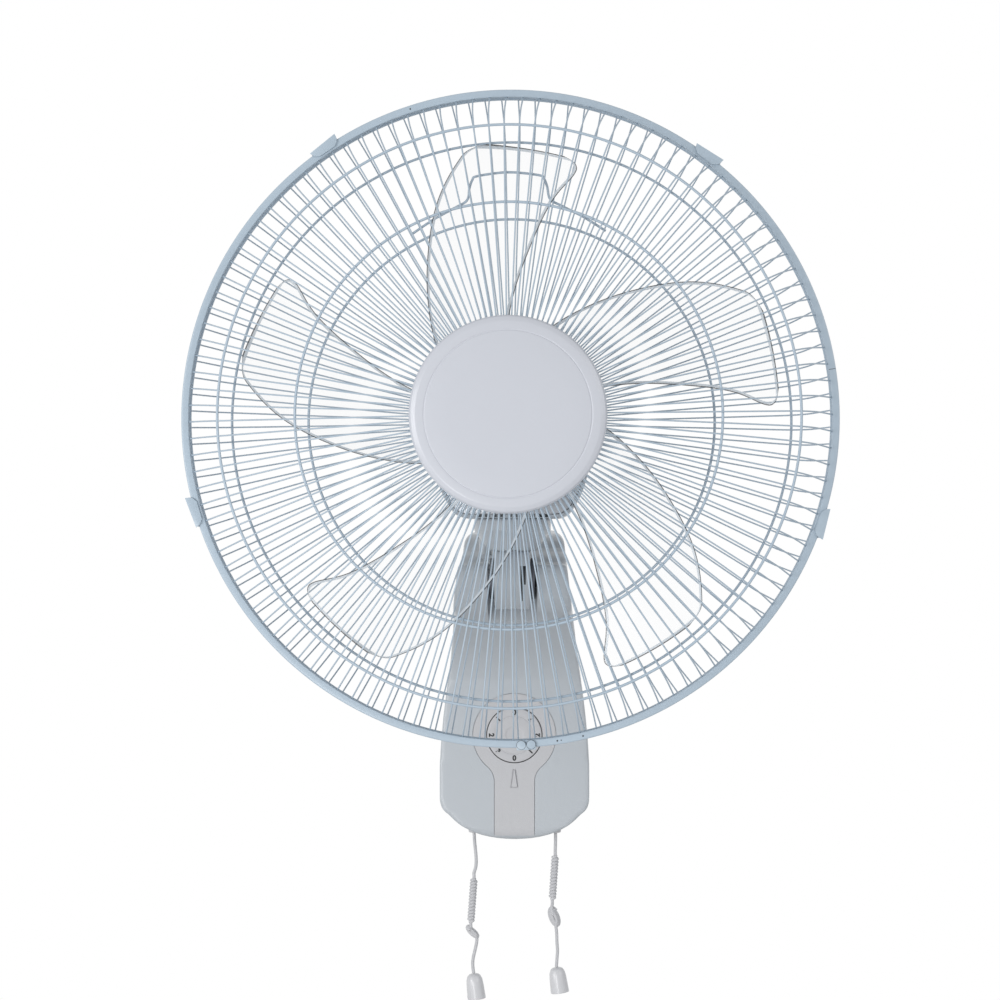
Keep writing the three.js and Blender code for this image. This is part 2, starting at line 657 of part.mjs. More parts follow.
function neckBlock() {
  const cone = turnedUp([
    [0, NECK_BOTTOM], [NECK_BOTTOM_R, NECK_BOTTOM], [NECK_TOP_R, NECK_TOP - 9], [NECK_TOP_R, NECK_TOP], [0, NECK_TOP],
  ], 20, 0, PAN_TO_RIM);
  const half = NECK_STEM_HALF;
  const stem = box([-half, PAN_TO_RIM - half, NECK_TOP - 2], [half, PAN_TO_RIM + half, -STATOR_R - SHIELD_WALL - 3 * GAP]);
  return cut(join(cone, stem), bar(BUSH_OUT + GAP, NECK_BOTTOM - 1, BUSH_TOP + 2, [0, PAN_TO_RIM], 'z', 14));
}

const swivelBush = () => sleeve(BUSH_OUT, BUSH_IN, NECK_BOTTOM, BUSH_TOP, 0, PAN_TO_RIM);

function coverOutline(inset) {
  const wide = COVER_HALF_WIDE - inset;
  const top = COVER_TOP - inset;
  const bottom = -COVER_BOTTOM + inset;
  const chin = COVER_CHIN_HALF - inset / 2;
  const shape = new THREE.Shape();
  shape.moveTo(0, top);
  shape.bezierCurveTo(wide * 0.6, top, wide, top * 0.62, wide, 0);
  shape.quadraticCurveTo(wide, bottom * 0.62, chin + 4, bottom + 9);
  shape.quadraticCurveTo(chin, bottom, chin - 9, bottom);
  const right = shape.getPoints(4);
  const left = right.slice(1).reverse().map((p) => new THREE.Vector2(-p.x, p.y));
  return new THREE.Shape([...right, ...left]);
}

function coverSolid(inset) {
  const back = COVER_BACK_Y - inset;
  const dome = turned([[0, COVER_FRONT_Y - 2], [90, COVER_FRONT_Y - 2], [86 - inset, back - 40], [78 - inset, back - 14], [64 - inset, back - 4], [40 - inset, back], [0, back]], 20);
  return common(slab(coverOutline(inset), COVER_FRONT_Y, back + 1), dome);
}

const COVER_SCREW_Z = 30;

function motorCover() {
  const half = NECK_STEM_HALF + GAP;
  const mouth = slab(coverOutline(COVER_WALL), COVER_FRONT_Y - 3, COVER_FRONT_Y + 3);
  const shell = cut(coverSolid(0), coverSolid(COVER_WALL), mouth);
  const slots = Array.from({ length: COVER_SLOTS }, (_, i) => {
    const z = -24 + i * 8;
    return box([-20, COVER_BACK_Y - 12, z], [20, COVER_BACK_Y + 5, z + 3]);
  });
  const vents = [-1, 1].flatMap((side) => Array.from({ length: 3 }, (_, i) => {
    const y = COVER_FRONT_Y + 8 + i * 9;
    return box(side < 0 ? [-60, y, -58] : [30, y, -58], side < 0 ? [-30, y + 4, -30] : [60, y + 4, -30]);
  }));
  return cut(
    shell, ...slots, ...vents,
    box([-half, PAN_TO_RIM - half, -COVER_BOTTOM - 5], [half, PAN_TO_RIM + half, -40]),
    bar(4, -COVER_BOTTOM - 5, -COVER_BOTTOM + 10, [CRANK_X, CRANK_Y - PAN_Y + PAN_TO_RIM], 'z', 14),
    bar(SCREW_R + 0.6, COVER_BACK_Y - 20, COVER_BACK_Y + 5, [0, COVER_SCREW_Z], 'y', 12),
  );
}

const coverScrew = () => join(
  bar(SCREW_R, SHIELD_BACK_Y + GAP, COVER_BACK_Y + 1, [0, COVER_SCREW_Z], 'y', 12),
  bar(4, COVER_BACK_Y + GAP, COVER_BACK_Y + 2.4, [0, COVER_SCREW_Z], 'y', 12),
);

// The front shield fills the cover's mouth, carries the front bearing in its nose, and holds the stator in its skirt.
function frontShield() {
  const inner = STATOR_R + GAP;
  const back = STATOR_FRONT_Y + 8;
  const flange = slab(coverOutline(COVER_WALL + GAP), SHIELD_FRONT_Y, SHIELD_FRONT_Y + SHIELD_WALL + 1);
  const cup = turned([
    [SHAFT_R + 2, NOSE_FRONT_Y], [NOSE_R, NOSE_FRONT_Y], [NOSE_R, SHIELD_FRONT_Y], [inner + SHIELD_WALL, SHIELD_FRONT_Y], [inner + SHIELD_WALL, back],
    [inner, back], [inner, SHIELD_FRONT_Y + 3.2], [BEARING_R + 3, SHIELD_FRONT_Y + 3.2], [BEARING_R + 3, BEARING_FRONT_Y + BEARING_LONG],
    [BEARING_R + GAP, BEARING_FRONT_Y + BEARING_LONG], [BEARING_R + GAP, BEARING_FRONT_Y - GAP], [SHAFT_R + 2, BEARING_FRONT_Y - GAP],
  ], 16);
  return join(cut(flange, bar(NOSE_R - 1, 0, 120, [0, 0], 'y', 20)), cup);
}

const BEARING_FRONT_Y = 64;
const REAR_BEARING_Y = SHIELD_BACK_Y - BEARING_LONG - 2;

function rearShield() {
  const inner = STATOR_R + GAP;
  const front = STATOR_FRONT_Y + STATOR_LONG - 8;
  return turned([
    [inner, front], [inner + SHIELD_WALL, front], [inner + SHIELD_WALL, SHIELD_BACK_Y], [SHAFT_R + 2, SHIELD_BACK_Y], [SHAFT_R + 2, REAR_BEARING_Y + BEARING_LONG + GAP],
    [BEARING_R + GAP, REAR_BEARING_Y + BEARING_LONG + GAP], [BEARING_R + GAP, REAR_BEARING_Y], [BEARING_R + 3, REAR_BEARING_Y],
    [BEARING_R + 3, SHIELD_BACK_Y - 3], [inner, SHIELD_BACK_Y - 3],
  ], 16);
}

const ringOf = (inner, outer, front, back, sides = 16) => turned([[inner, front], [outer, front], [outer, back], [inner, back]], sides);

function oscillationMotor() {
  return bar(DRIVE_R, NECK_TOP + COVER_WALL + 2 * GAP, NECK_TOP + COVER_WALL + 12, [CRANK_X, CRANK_Y - PAN_Y + PAN_TO_RIM], 'z', 14);
}

function oscillationCrank() {
  const at = [CRANK_X, CRANK_Y - PAN_Y + PAN_TO_RIM];
  return join(
    bar(2.5, NECK_TOP - 4.5, NECK_TOP + COVER_WALL + GAP, at, 'z', 12),
    bar(CRANK_R, NECK_TOP - 7, NECK_TOP - 4, at, 'z', 14),
    bar(2.2, LINK_Z + LINK_THICK + GAP - FAN_AXIS_Z, NECK_TOP - 6, [at[0], at[1] + CRANK_THROW], 'z', 12),
  );
}

function oscillationLink() {
  const low = LINK_Z;
  const high = LINK_Z + LINK_THICK;
  const pin = [CRANK_X, CRANK_Y + CRANK_THROW];
  const turn = Math.atan2(pin[1] - STUD_Y, pin[0] - STUD_X);
  const length = Math.hypot(pin[1] - STUD_Y, pin[0] - STUD_X);
  const strip = box([0, -2.6, low], [length, 2.6, high]).rotateZ(turn).translate(STUD_X, STUD_Y, 0);
  return cut(
    join(strip, bar(5.4, low, high, [STUD_X, STUD_Y], 'z', 16), bar(4.4, low, high, pin, 'z', 14)),
    bar(STUD_R + RUNNING, low - 1, high + 1, [STUD_X, STUD_Y], 'z', 14),
  );
}

// ---- Rotor ----

function rotorShaft() {
  return bar(SHAFT_R, SHAFT_FRONT_Y, SHAFT_BACK_Y, [0, 0], 'y', 16);
}

// Stations along one blade: share of the tip's radius, angle of its left edge, angle of its right edge, both edges' depths.
const BLADE_STATIONS = [
  { reach: (BLADE_HUB_R - 4) / BLADE_TIP_R, left: 24, right: 78, leftY: 6, rightY: -32 },
  { reach: 0.328, left: 18, right: 65, leftY: 14, rightY: -33 },
  { reach: 0.47, left: 14, right: 53.5, leftY: 20, rightY: -32 },
  { reach: 0.634, left: 9.5, right: 43.5, leftY: 24, rightY: -30 },
  { reach: 0.825, left: 5, right: 34, leftY: 25, rightY: -26 },
  { reach: 0.94, left: 0.8, right: 27.5, leftY: 25, rightY: -22 },
  { reach: 1, left: 3.5, right: 22, leftY: 20, rightY: -18 },
];
const BLADE_STEPS = 3;
const BLADE_CAMBER = 5;

function blade(start) {
  const columns = BLADE_STEPS + 1;
  const rows = BLADE_STATIONS.length;
  const positions = [];
  for (const face of [-1, 1]) {
    for (const { reach, left, right, leftY, rightY } of BLADE_STATIONS) {
      for (let i = 0; i < columns; i++) {
        const share = i / BLADE_STEPS;
        const camber = BLADE_CAMBER * 4 * share * (1 - share);
        const y = leftY + (rightY - leftY) * share + camber + (face * BLADE_THICK) / 2;
        positions.push(...around(BLADE_TIP_R * reach, start + left + (right - left) * share, y));
      }
    }
  }
  const index = [];
  const sheet = rows * columns;
  const quad = (a, b, c, d) => index.push(a, b, c, a, c, d);
  for (let r = 0; r < rows - 1; r++) {
    for (let i = 0; i < BLADE_STEPS; i++) {
      const a = r * columns + i;
      quad(a, a + columns, a + columns + 1, a + 1);
      quad(sheet + a, sheet + a + 1, sheet + a + columns + 1, sheet + a + columns);
    }
    const left = r * columns;
    const right = left + BLADE_STEPS;
    quad(left, sheet + left, sheet + left + columns, left + columns);
    quad(right, right + columns, sheet + right + columns, sheet + right);
  }
  for (let i = 0; i < BLADE_STEPS; i++) {
    const tip = (rows - 1) * columns + i;
    quad(i, i + 1, sheet + i + 1, sheet + i);
    quad(tip, sheet + tip, sheet + tip + 1, tip + 1);
  }
  const geometry = new THREE.BufferGeometry();
  geometry.setAttribute('position', new THREE.Float32BufferAttribute(positions, 3));
  geometry.setIndex(index);
  return geometry;
}

function fanBlades() {
  const front = BLADE_HUB_FRONT_Y;
  const hub = turned([
    [SHAFT_R + GAP, front], [BLADE_HUB_R - 5, front], [BLADE_HUB_R, front + 5], [BLADE_HUB_R, BLADE_HUB_BACK_Y], [BLADE_HUB_R - 3, BLADE_HUB_BACK_Y],
    [BLADE_HUB_R - 3, front + 8], [SHAFT_R + 6, front + 8], [SHAFT_R + 6, BLADE_HUB_BACK_Y + 10], [SHAFT_R + GAP, BLADE_HUB_BACK_Y + 10],
  ], 16);
  const blades = Array.from({ length: BLADES }, (_, i) => blade(FIRST_BLADE + (i * 360) / BLADES));
  const bore = bar(BLADE_HUB_R - 1.5, -60, 60, [0, 0], 'y', 16);
  return join(hub, ...blades.map((shape) => cut(shape, bore)));
}

function bladeNut() {
  const back = BLADE_HUB_FRONT_Y - GAP;
  return turned([[SHAFT_R + GAP, back], [13, back], [13, back - 4], [9, back - 10], [0, back - 11], [0, SHAFT_FRONT_Y - GAP], [SHAFT_R + GAP, SHAFT_FRONT_Y - GAP]], 14);
}

// ---- Guards and rim ----

const RING_Y = RIM_WIDTH / 2 - RIM_WALL - GAP - EDGE_WIRE_R;
const EDGE_RING_R = RIM_R - RIM_WALL - GAP - EDGE_WIRE_R;

// The triangles of a flat face with a hole, all turning the way asked; points are [across, y].
function faceWithHole(outline, hole, leftTurning) {
  const points = [...outline, ...hole].map(([x, y]) => new THREE.Vector2(x, y));
  const faces = THREE.ShapeUtils.triangulateShape(points.slice(0, outline.length), [points.slice(outline.length)]);
  return faces.map(([a, b, c]) => {
    const turnsLeft = THREE.ShapeUtils.area([points[a], points[b], points[c]]) > 0;
    return turnsLeft === leftTurning ? [a, b, c] : [a, c, b];
  });
}

// Two rings of square section and the wires between them, as one closed body. Each ring has one flat for
// each wire, and the wire's three edges run into that flat. The line is the wire's, as [radius, y] points.
function spokedRings(hub, edge, line) {
  const step = (2 * Math.PI) / WIRES;
  const positions = [];
  const index = [];
  const point = (radius, turn, y, across = 0) => {
    positions.push(radius * Math.cos(turn) - across * Math.sin(turn), y, radius * Math.sin(turn) + across * Math.cos(turn));
    return positions.length / 3 - 1;
  };
  const corners = [hub, edge].map((ring) => Array.from({ length: WIRES }, (_, i) => [
    [ring.inner, ring.front], [ring.outer, ring.front], [ring.outer, ring.back], [ring.inner, ring.back],
  ].map(([radius, y]) => point(radius, i * step, y))));
  const quad = (a, b, c, d) => index.push(a, b, c, a, c, d);
  // Each of the wire's sections leans half way between the runs on its two sides.
  const sections = line.map(([radius, y], i) => {
    const before = line[Math.max(i - 1, 0)];
    const after = line[Math.min(i + 1, line.length - 1)];
    const slope = Math.atan2(after[1] - before[1], after[0] - before[0]);
    const atEnd = i === 0 || i === line.length - 1;
    return Array.from({ length: 3 }, (_, k) => {
      const turn = Math.PI / 2 + (2 * Math.PI * k) / 3;
      const up = WIRE_R * Math.sin(turn);
      const lift = atEnd ? [0, up * Math.min(1 / Math.cos(slope), 1.6)] : [-up * Math.sin(slope), up * Math.cos(slope)];
      return [radius + lift[0], y + lift[1], WIRE_R * Math.cos(turn)];
    });
  });
  for (let i = 0; i < WIRES; i++) {
    const next = (i + 1) % WIRES;
    const middle = (i + 0.5) * step;
    const rows = sections.map((section) => section.map(([radius, y, across]) => point(radius, middle, y, across)));
    for (let r = 0; r < rows.length - 1; r++) {
      for (let k = 0; k < 3; k++) quad(rows[r][k], rows[r + 1][k], rows[r + 1][(k + 1) % 3], rows[r][(k + 1) % 3]);
    }
    [hub, edge].forEach((ring, which) => {
      const [a, b] = [corners[which][i], corners[which][next]];
      const pierced = which === 0 ? 1 : 3;
      for (let k = 0; k < 4; k++) if (k !== pierced) quad(a[k], a[(k + 1) % 4], b[(k + 1) % 4], b[k]);
      const radius = which === 0 ? ring.outer : ring.inner;
      const half = radius * Math.sin(step / 2);
      const [first, second] = which === 0 ? [ring.front, ring.back] : [ring.back, ring.front];
      const outline = [[-half, first], [half, first], [half, second], [-half, second]];
      const ends = which === 0 ? rows[0] : rows[rows.length - 1];
      const hole = sections[which === 0 ? 0 : sections.length - 1].map(([, y, across]) => [across, y]);
      const names = [a[pierced], b[pierced], b[(pierced + 1) % 4], a[(pierced + 1) % 4], ...ends];
      for (const face of faceWithHole(outline, hole, which === 1)) index.push(...face.map((k) => names[k]));
    });
  }
  const geometry = new THREE.BufferGeometry();
  geometry.setAttribute('position', new THREE.Float32BufferAttribute(positions, 3));
  geometry.setIndex(index);
  return geometry;
}

function guard({ hubIn, hubR, hubY, shoulderR, shoulderY, edgeY, away }) {
  const depth = HUB_RING_DEPTH / 2;
  const flat = Math.cos(Math.PI / WIRES);
  const hub = { inner: hubIn, outer: hubR, front: hubY - depth, back: hubY + depth };
  const edge = { inner: EDGE_RING_R - EDGE_WIRE_R, outer: EDGE_RING_R + EDGE_WIRE_R, front: edgeY - EDGE_WIRE_R, back: edgeY + EDGE_WIRE_R };
  const line = [[hubR * flat, hubY], [shoulderR, shoulderY], [edge.inner * flat, edgeY]];
  const first = 360 / WIRES / 2;
  const wires = spokedRings(hub, edge, line);
  const slope = (shoulderY - hubY) / (shoulderR - line[0][0]);
  const edgeSlope = (edgeY - shoulderY) / (line[2][0] - shoulderR);
  const bands = [INNER_BAND_R, OUTER_BAND_R].map((radius) => {
    const inside = radius < shoulderR;
    const onWire = inside ? hubY + slope * (radius - line[0][0]) : shoulderY + edgeSlope * (radius - shoulderR);
    const steep = Math.hypot(1, inside ? slope : edgeSlope);
    const y = onWire + away * (WIRE_R + BAND_WIRE_R + GAP) * steep;
    const welds = Array.from({ length: WELDS }, (_, i) => {
      const turn = first + i * (360 / WELDS);
      return new THREE.OctahedronGeometry(BAND_WIRE_R * 1.5).translate(...around(radius, turn, (y + onWire) / 2));
    });
    return [swept(ringPoints(radius, y, BAND_SIDES), BAND_WIRE_R, 3, true), ...welds];
  });
  return join(wires, ...bands.flat());
}

const frontGuard = () => guard({
  hubIn: FRONT_HUB_IN_R, hubR: FRONT_HUB_R, hubY: FRONT_HUB_Y,
  shoulderR: FRONT_SHOULDER_R, shoulderY: FRONT_SHOULDER_Y, edgeY: -RING_Y, away: 1,
});
const rearGuard = () => guard({
  hubIn: NOSE_R + GAP, hubR: REAR_HUB_R, hubY: REAR_HUB_Y,
  shoulderR: REAR_SHOULDER_R, shoulderY: REAR_SHOULDER_Y, edgeY: RING_Y, away: 1,
});

const guardNut = () => ringOf(NOSE_R + GAP, NOSE_R + 9, REAR_HUB_Y - HUB_RING_DEPTH / 2 - GAP - 8, REAR_HUB_Y - HUB_RING_DEPTH / 2 - GAP, 18);

function rimBand() {
  const half = RIM_WIDTH / 2;
  const inside = RIM_R - RIM_LIP;
  const wall = RIM_WALL;
  const channel = turned([
    [RIM_R, -half], [RIM_R, half], [inside, half], [inside, half - wall], [RIM_R - wall, half - wall], [RIM_R - wall, -half + wall], [inside, -half + wall], [inside, -half],
  ], WIRES);
  const lugs = RIM_CLIP_ANGLES.flatMap((angle) => [-1, 1].map((side) => {
    const near = CLIP_LONG / 2 + 1;
    const lug = box([CLIP_AXIS_R - 2.5, half - 0.5, side < 0 ? -near - 2 : near], [CLIP_AXIS_R + 1.4, CLIP_AXIS_Y + 1.6, side < 0 ? -near : near + 2]);
    return lug.rotateY(-radians(angle));
  }));
  return join(channel, ...lugs);
}

const CLIP_AXIS_R = RIM_R - 1;
const CLIP_BARREL_R = 1.4;
const CLIP_AXIS_Y = RIM_WIDTH / 2 + 2 * GAP + CLIP_BARREL_R;

// A spring clip: a flap over the rim, a hook in front of it, a flared lip, and the barrel that it turns on.
function rimClip(angle) {
  const half = CLIP_LONG / 2;
  const frontY = -RIM_WIDTH / 2 - GAP;
  const flapIn = RIM_R + GAP;
  const flapOut = flapIn + CLIP_THICK;
  const flap = box([flapIn, frontY - CLIP_THICK, -half], [flapOut, CLIP_AXIS_Y, half]);
  const barrel = bar(CLIP_BARREL_R, -half, half, [CLIP_AXIS_R, CLIP_AXIS_Y], 'z', 10);
  const tie = box([CLIP_AXIS_R, CLIP_AXIS_Y - 0.2, -half], [flapOut, CLIP_AXIS_Y + CLIP_THICK, half]);
  const face = new THREE.Shape([
    [RIM_R - CLIP_HOOK, -half + 4], [RIM_R - CLIP_HOOK, half - 4], [RIM_R - 1.6, half - 1], [RIM_R + 0.3, half],
    [RIM_R + CLIP_PROUD / 2, half + 0.5], [RIM_R + CLIP_PROUD, -half - 0.5], [RIM_R + 0.3, -half], [RIM_R - 1.6, -half + 1],
  ].map(([r, z]) => new THREE.Vector2(r, z)));
  return join(flap, barrel, tie, slab(face, frontY - CLIP_THICK, frontY)).rotateY(-radians(angle));
}

// The lock clip at the bottom: two round lobes on the rim's face, and a flap under it.
function rimLock() {
  const frontY = -RIM_WIDTH / 2 - GAP;
  const flapIn = RIM_R + GAP;
  const lobes = [-1, 1].map((side) => bar(3.1, frontY - CLIP_THICK, frontY, [RIM_R - 1.9, side * 3.3], 'y', 16));
  const foot = box([RIM_R - 1.9, frontY - CLIP_THICK, -6.4], [flapIn + CLIP_THICK, frontY, 6.4]);
  const flap = box([flapIn, frontY - CLIP_THICK, -6.4], [flapIn + CLIP_THICK, RIM_WIDTH / 2, 6.4]);
  return join(...lobes, foot, flap).rotateY(-radians(RIM_LOCK_ANGLE));
}

function hubCap() {
  const front = CAP_FRONT_Y;
  const back = FRONT_HUB_Y - WIRE_R - 2 * GAP;
  return turned([
    [0, front - 1], [30, front - 0.8], [CAP_STEP_R - 0.6, front - 0.2], [CAP_STEP_R, front + 0.5], [CAP_R - 4, front + 0.9], [CAP_R - 1, front + 2.2], [CAP_R, back],
    [CAP_R - CAP_WALL, back], [CAP_R - CAP_WALL - 1, front + 3.4], [0, front + CAP_WALL],
  ], 30);
}

// The arched wire on the back of the rear guard, by which the head is lifted and held.
function guardHandle() {
  const y = (radius) => REAR_HUB_Y + ((REAR_SHOULDER_Y - REAR_HUB_Y) * (radius - REAR_HUB_R)) / (REAR_SHOULDER_R - REAR_HUB_R)
    + WIRE_R + BAND_WIRE_R + 2 * GAP;
  const half = [[27, 73], [20, 70], [14, 67], [10.6, 64], [9.4, 56], [8.4, 51], [7.2, 49]]
    .map(([turn, inside]) => [turn, RIM_R - inside]);
  const points = [...half.map(([turn, radius]) => [-turn, radius]), [0, RIM_R - 48], ...half.slice().reverse()];
  return swept(points.map(([turn, radius]) => around(radius, 90.7 + turn, y(radius))), BAND_WIRE_R, 6);
}

// ---- Assembly ----

add(fan, 'wall_bracket', wallBracket(), STEEL);
add(fan, 'rear_case', rearCase(), SHELL);
add(fan, 'front_case', frontCase(), SHELL);
add(fan, 'dial_surround', dialSurround(), TRIM);
add(fan, 'tilt_fork', tiltFork(), STEEL);
add(fan, 'tilt_bolt', tiltBolt(), STEEL);
add(fan, 'speed_switch', speedSwitch(), DARK);
add(fan, 'oscillation_switch', oscillationSwitch(), DARK);
add(fan, 'capacitor', box([4, CASE_BACK_Y - CASE_WALL - GAP - 16, 46], [34, CASE_BACK_Y - CASE_WALL - GAP, 68]), DARK);
add(fan, 'terminal_block', box([-34, CASE_BACK_Y - CASE_WALL - GAP - 12, 46], [-4, CASE_BACK_Y - CASE_WALL - GAP, 58]), TRIM);
add(fan, 'cable_gland', sleeve(GLAND_R, 3.8, CASE_BOTTOM_Z - 1.6, CASE_BOTTOM_Z + 9.6, 0, GLAND_Y), DARK);
add(fan, 'cord_clamp', box([-9, CASE_BACK_Y - CASE_WALL - GAP - 5, -98], [9, CASE_BACK_Y - CASE_WALL - GAP, -92]), DARK);
add(fan, 'left_cord_bush', sleeve(BUSH_R, CORD_R + 0.8, CORD_EXIT_Z - 1.2, CORD_EXIT_Z + 8, -CORD_X, CORD_Y), TRIM);
add(fan, 'right_cord_bush', sleeve(BUSH_R, CORD_R + 0.8, CORD_EXIT_Z - 1.2, CORD_EXIT_Z + 8, CORD_X, CORD_Y), TRIM);
CASE_SCREWS.forEach((place, i) => add(fan, `case_screw_${i + 1}`, caseScrew(place), STEEL));

add(fan, 'speed_dial', speedDial(), TRIM);
add(fan, 'speed_lever', switchLever(0, DIAL_Z, CORD_X + 2), TRIM);
add(fan, 'oscillation_lever', switchLever(-CORD_X + LEFT_LEVER_ARM, LEFT_PIVOT_Z, -LEFT_LEVER_ARM - 2), TRIM);
for (const [name, pull] of [['left', LEFT_PULL], ['right', RIGHT_PULL]]) {
  add(fan, `${name}_upper_cord`, upperCord(pull), CORD);
  add(fan, `${name}_cord_winding`, winding(pull), CORD);
  add(fan, `${name}_lower_cord`, lowerCord(pull), CORD);
  add(fan, `${name}_pull_knob`, pullKnob(pull), TRIM);
}

add(fan, 'tilt_knuckle', tiltKnuckle(), SHELL);
add(fan, 'swivel_post', swivelPost(), STEEL);
add(fan, 'oscillation_link', oscillationLink(), STEEL);

add(head, 'neck_block', neckBlock(), SHELL);
add(head, 'swivel_bush', swivelBush(), BRASS);
add(head, 'motor_front_shield', frontShield(), STEEL);
add(head, 'motor_rear_shield', rearShield(), STEEL);
add(head, 'stator_core', ringOf(STATOR_BORE_R, STATOR_R, STATOR_FRONT_Y, STATOR_FRONT_Y + STATOR_LONG), STEEL);
add(head, 'front_winding', ringOf(STATOR_BORE_R + 1, WINDING_R, STATOR_FRONT_Y - GAP - WINDING_LONG, STATOR_FRONT_Y - GAP), COPPER);
add(head, 'rear_winding', ringOf(STATOR_BORE_R + 1, WINDING_R, STATOR_FRONT_Y + STATOR_LONG + GAP, STATOR_FRONT_Y + STATOR_LONG + GAP + WINDING_LONG), COPPER);
add(head, 'front_bearing', ringOf(SHAFT_R + RUNNING, BEARING_R, BEARING_FRONT_Y, BEARING_FRONT_Y + BEARING_LONG, 12), BRASS);
add(head, 'rear_bearing', ringOf(SHAFT_R + RUNNING, BEARING_R, REAR_BEARING_Y, REAR_BEARING_Y + BEARING_LONG, 12), BRASS);
add(head, 'motor_cover', motorCover(), SHELL);
add(head, 'cover_screw', coverScrew(), STEEL);
add(head, 'oscillation_motor', oscillationMotor(), STEEL);
add(head, 'oscillation_crank', oscillationCrank(), TRIM);
add(head, 'rear_guard', rearGuard(), WIRE_PAINT);
add(head, 'guard_handle', guardHandle(), WIRE_PAINT);
add(head, 'guard_nut', guardNut(), TRIM);
add(head, 'front_guard', frontGuard(), WIRE_PAINT);
add(head, 'hub_cap', hubCap(), CAP_SHELL);
add(head, 'rim_band', rimBand(), WIRE_PAINT);
RIM_CLIP_ANGLES.forEach((angle, i) => add(head, `rim_clip_${i + 1}`, rimClip(angle), WIRE_PAINT));
add(head, 'rim_lock', rimLock(), WIRE_PAINT);

add(head, 'motor_shaft', rotorShaft(), STEEL);
add(head, 'rotor_core', ringOf(SHAFT_R + GAP, STATOR_BORE_R - AIR_GAP, STATOR_FRONT_Y, STATOR_FRONT_Y + STATOR_LONG), STEEL);
add(head, 'fan_blades', fanBlades(), CLEAR);
add(head, 'blade_nut', bladeNut(), TRIM);

export default fan;
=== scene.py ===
# %% [markdown]
# # A wall mounted fan, dressed for its portrait
#
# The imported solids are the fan's frame: they say where each piece is and what it moves with.
# This lesson keeps that frame and gives every visible piece its real form and finish: thin
# bent wires, smooth moulded shells, clear blades, braided cords. Lengths are in metres and the
# fan hangs on a wall at y = 0, blowing towards -Y.

# %% The frame
import math

import bmesh
import bpy
from mathutils import Matrix, Vector


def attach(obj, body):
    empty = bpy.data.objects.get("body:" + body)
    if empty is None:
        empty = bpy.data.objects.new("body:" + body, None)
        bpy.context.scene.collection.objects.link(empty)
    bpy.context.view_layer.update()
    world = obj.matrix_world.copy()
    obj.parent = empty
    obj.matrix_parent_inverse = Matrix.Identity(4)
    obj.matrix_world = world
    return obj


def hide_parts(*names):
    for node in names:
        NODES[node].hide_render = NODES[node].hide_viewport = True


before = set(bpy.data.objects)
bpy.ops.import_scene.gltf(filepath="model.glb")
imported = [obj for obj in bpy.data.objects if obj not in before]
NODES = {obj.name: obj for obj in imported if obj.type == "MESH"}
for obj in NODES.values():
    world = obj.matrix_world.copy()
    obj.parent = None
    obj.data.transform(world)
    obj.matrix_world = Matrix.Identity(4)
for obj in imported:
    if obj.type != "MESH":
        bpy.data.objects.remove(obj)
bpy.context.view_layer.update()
MM = 0.001

# %% [markdown]
# The solids and the dressed pieces share their main sizes, apart from the thin wires. They are
# given here by name, in millimetres, as a maker's drawing would give them, and turned into metres
# where a mesh is made.

# %% Main sizes
AXIS_Y = -250.0  # middle of the rim
AXIS_Z = 190.0
RIM_R = 220.0
RIM_HALF = 8.0
RIM_LIP = 5.0
RIM_WALL = 1.2
WIRE_R = 0.52  # finer than in the solids, whose guards have half as many wires
BAND_R = 0.9
EDGE_WIRE_R = 1.8
EDGE_RING_R = RIM_R - RIM_WALL - 0.3 - EDGE_WIRE_R
EDGE_RING_Y = RIM_HALF - RIM_WALL - 0.3 - EDGE_WIRE_R
WIRES = 120
CLIP_ANGLES = (53, 124.3, 196.5, 341.4)
TILT_Y, TILT_Z = -150.0, 82.0
DIAL_Z = -33.6
CASE_FRONT_Y = -78.0
CASE_SPLIT_Y = -28.0
CASE_LOW_Z, CASE_TOP_Z = -110.4, 117.0
CORD_X, CORD_Y, CORD_EXIT_Z, CORD_R = 30.0, -62.0, -105.0, 1.2

# %% [markdown]
# ## Shader sums in plain Python
#
# A finish is a small formula: colour and roughness that drift a little, and a fine bump. Writing
# it node by node hides the formula, so one class wraps a socket and lets Python's own operators
# add the Math nodes. Every other node comes from one method of the finish.

# %% The shader kit
class Sum:
    """A number that varies over a surface; + - * / build the nodes behind it."""

    def __init__(self, finish, socket):
        self.finish, self.socket = finish, socket

    def math(self, operation, first, second=None, clamp=False):
        values = [first] if second is None else [first, second]
        settings = {"operation": operation, "use_clamp": clamp}
        return self.finish.node("ShaderNodeMath", settings, dict(enumerate(values)))

    def __add__(self, other):
        return self.math("ADD", self, other)

    def __sub__(self, other):
        return self.math("SUBTRACT", self, other)

    def __rsub__(self, other):
        return self.math("SUBTRACT", other, self)

    def __mul__(self, other):
        return self.math("MULTIPLY", self, other)

    def __truediv__(self, other):
        return self.math("DIVIDE", self, other)

    def __gt__(self, other):
        return self.math("GREATER_THAN", self, other)

    def __abs__(self):
        return self.math("ABSOLUTE", self)

    def sine(self):
        return self.math("SINE", self)

    def clamped(self):
        return self.math("ADD", self, 0.0, clamp=True)

    __radd__ = __add__
    __rmul__ = __mul__


def linear(colour):
    """A colour as the eye reads it, turned into the linear one that shaders use."""
    return tuple(c / 12.92 if c <= 0.04045 else ((c + 0.055) / 1.055) ** 2.4 for c in colour) + (1.0,)


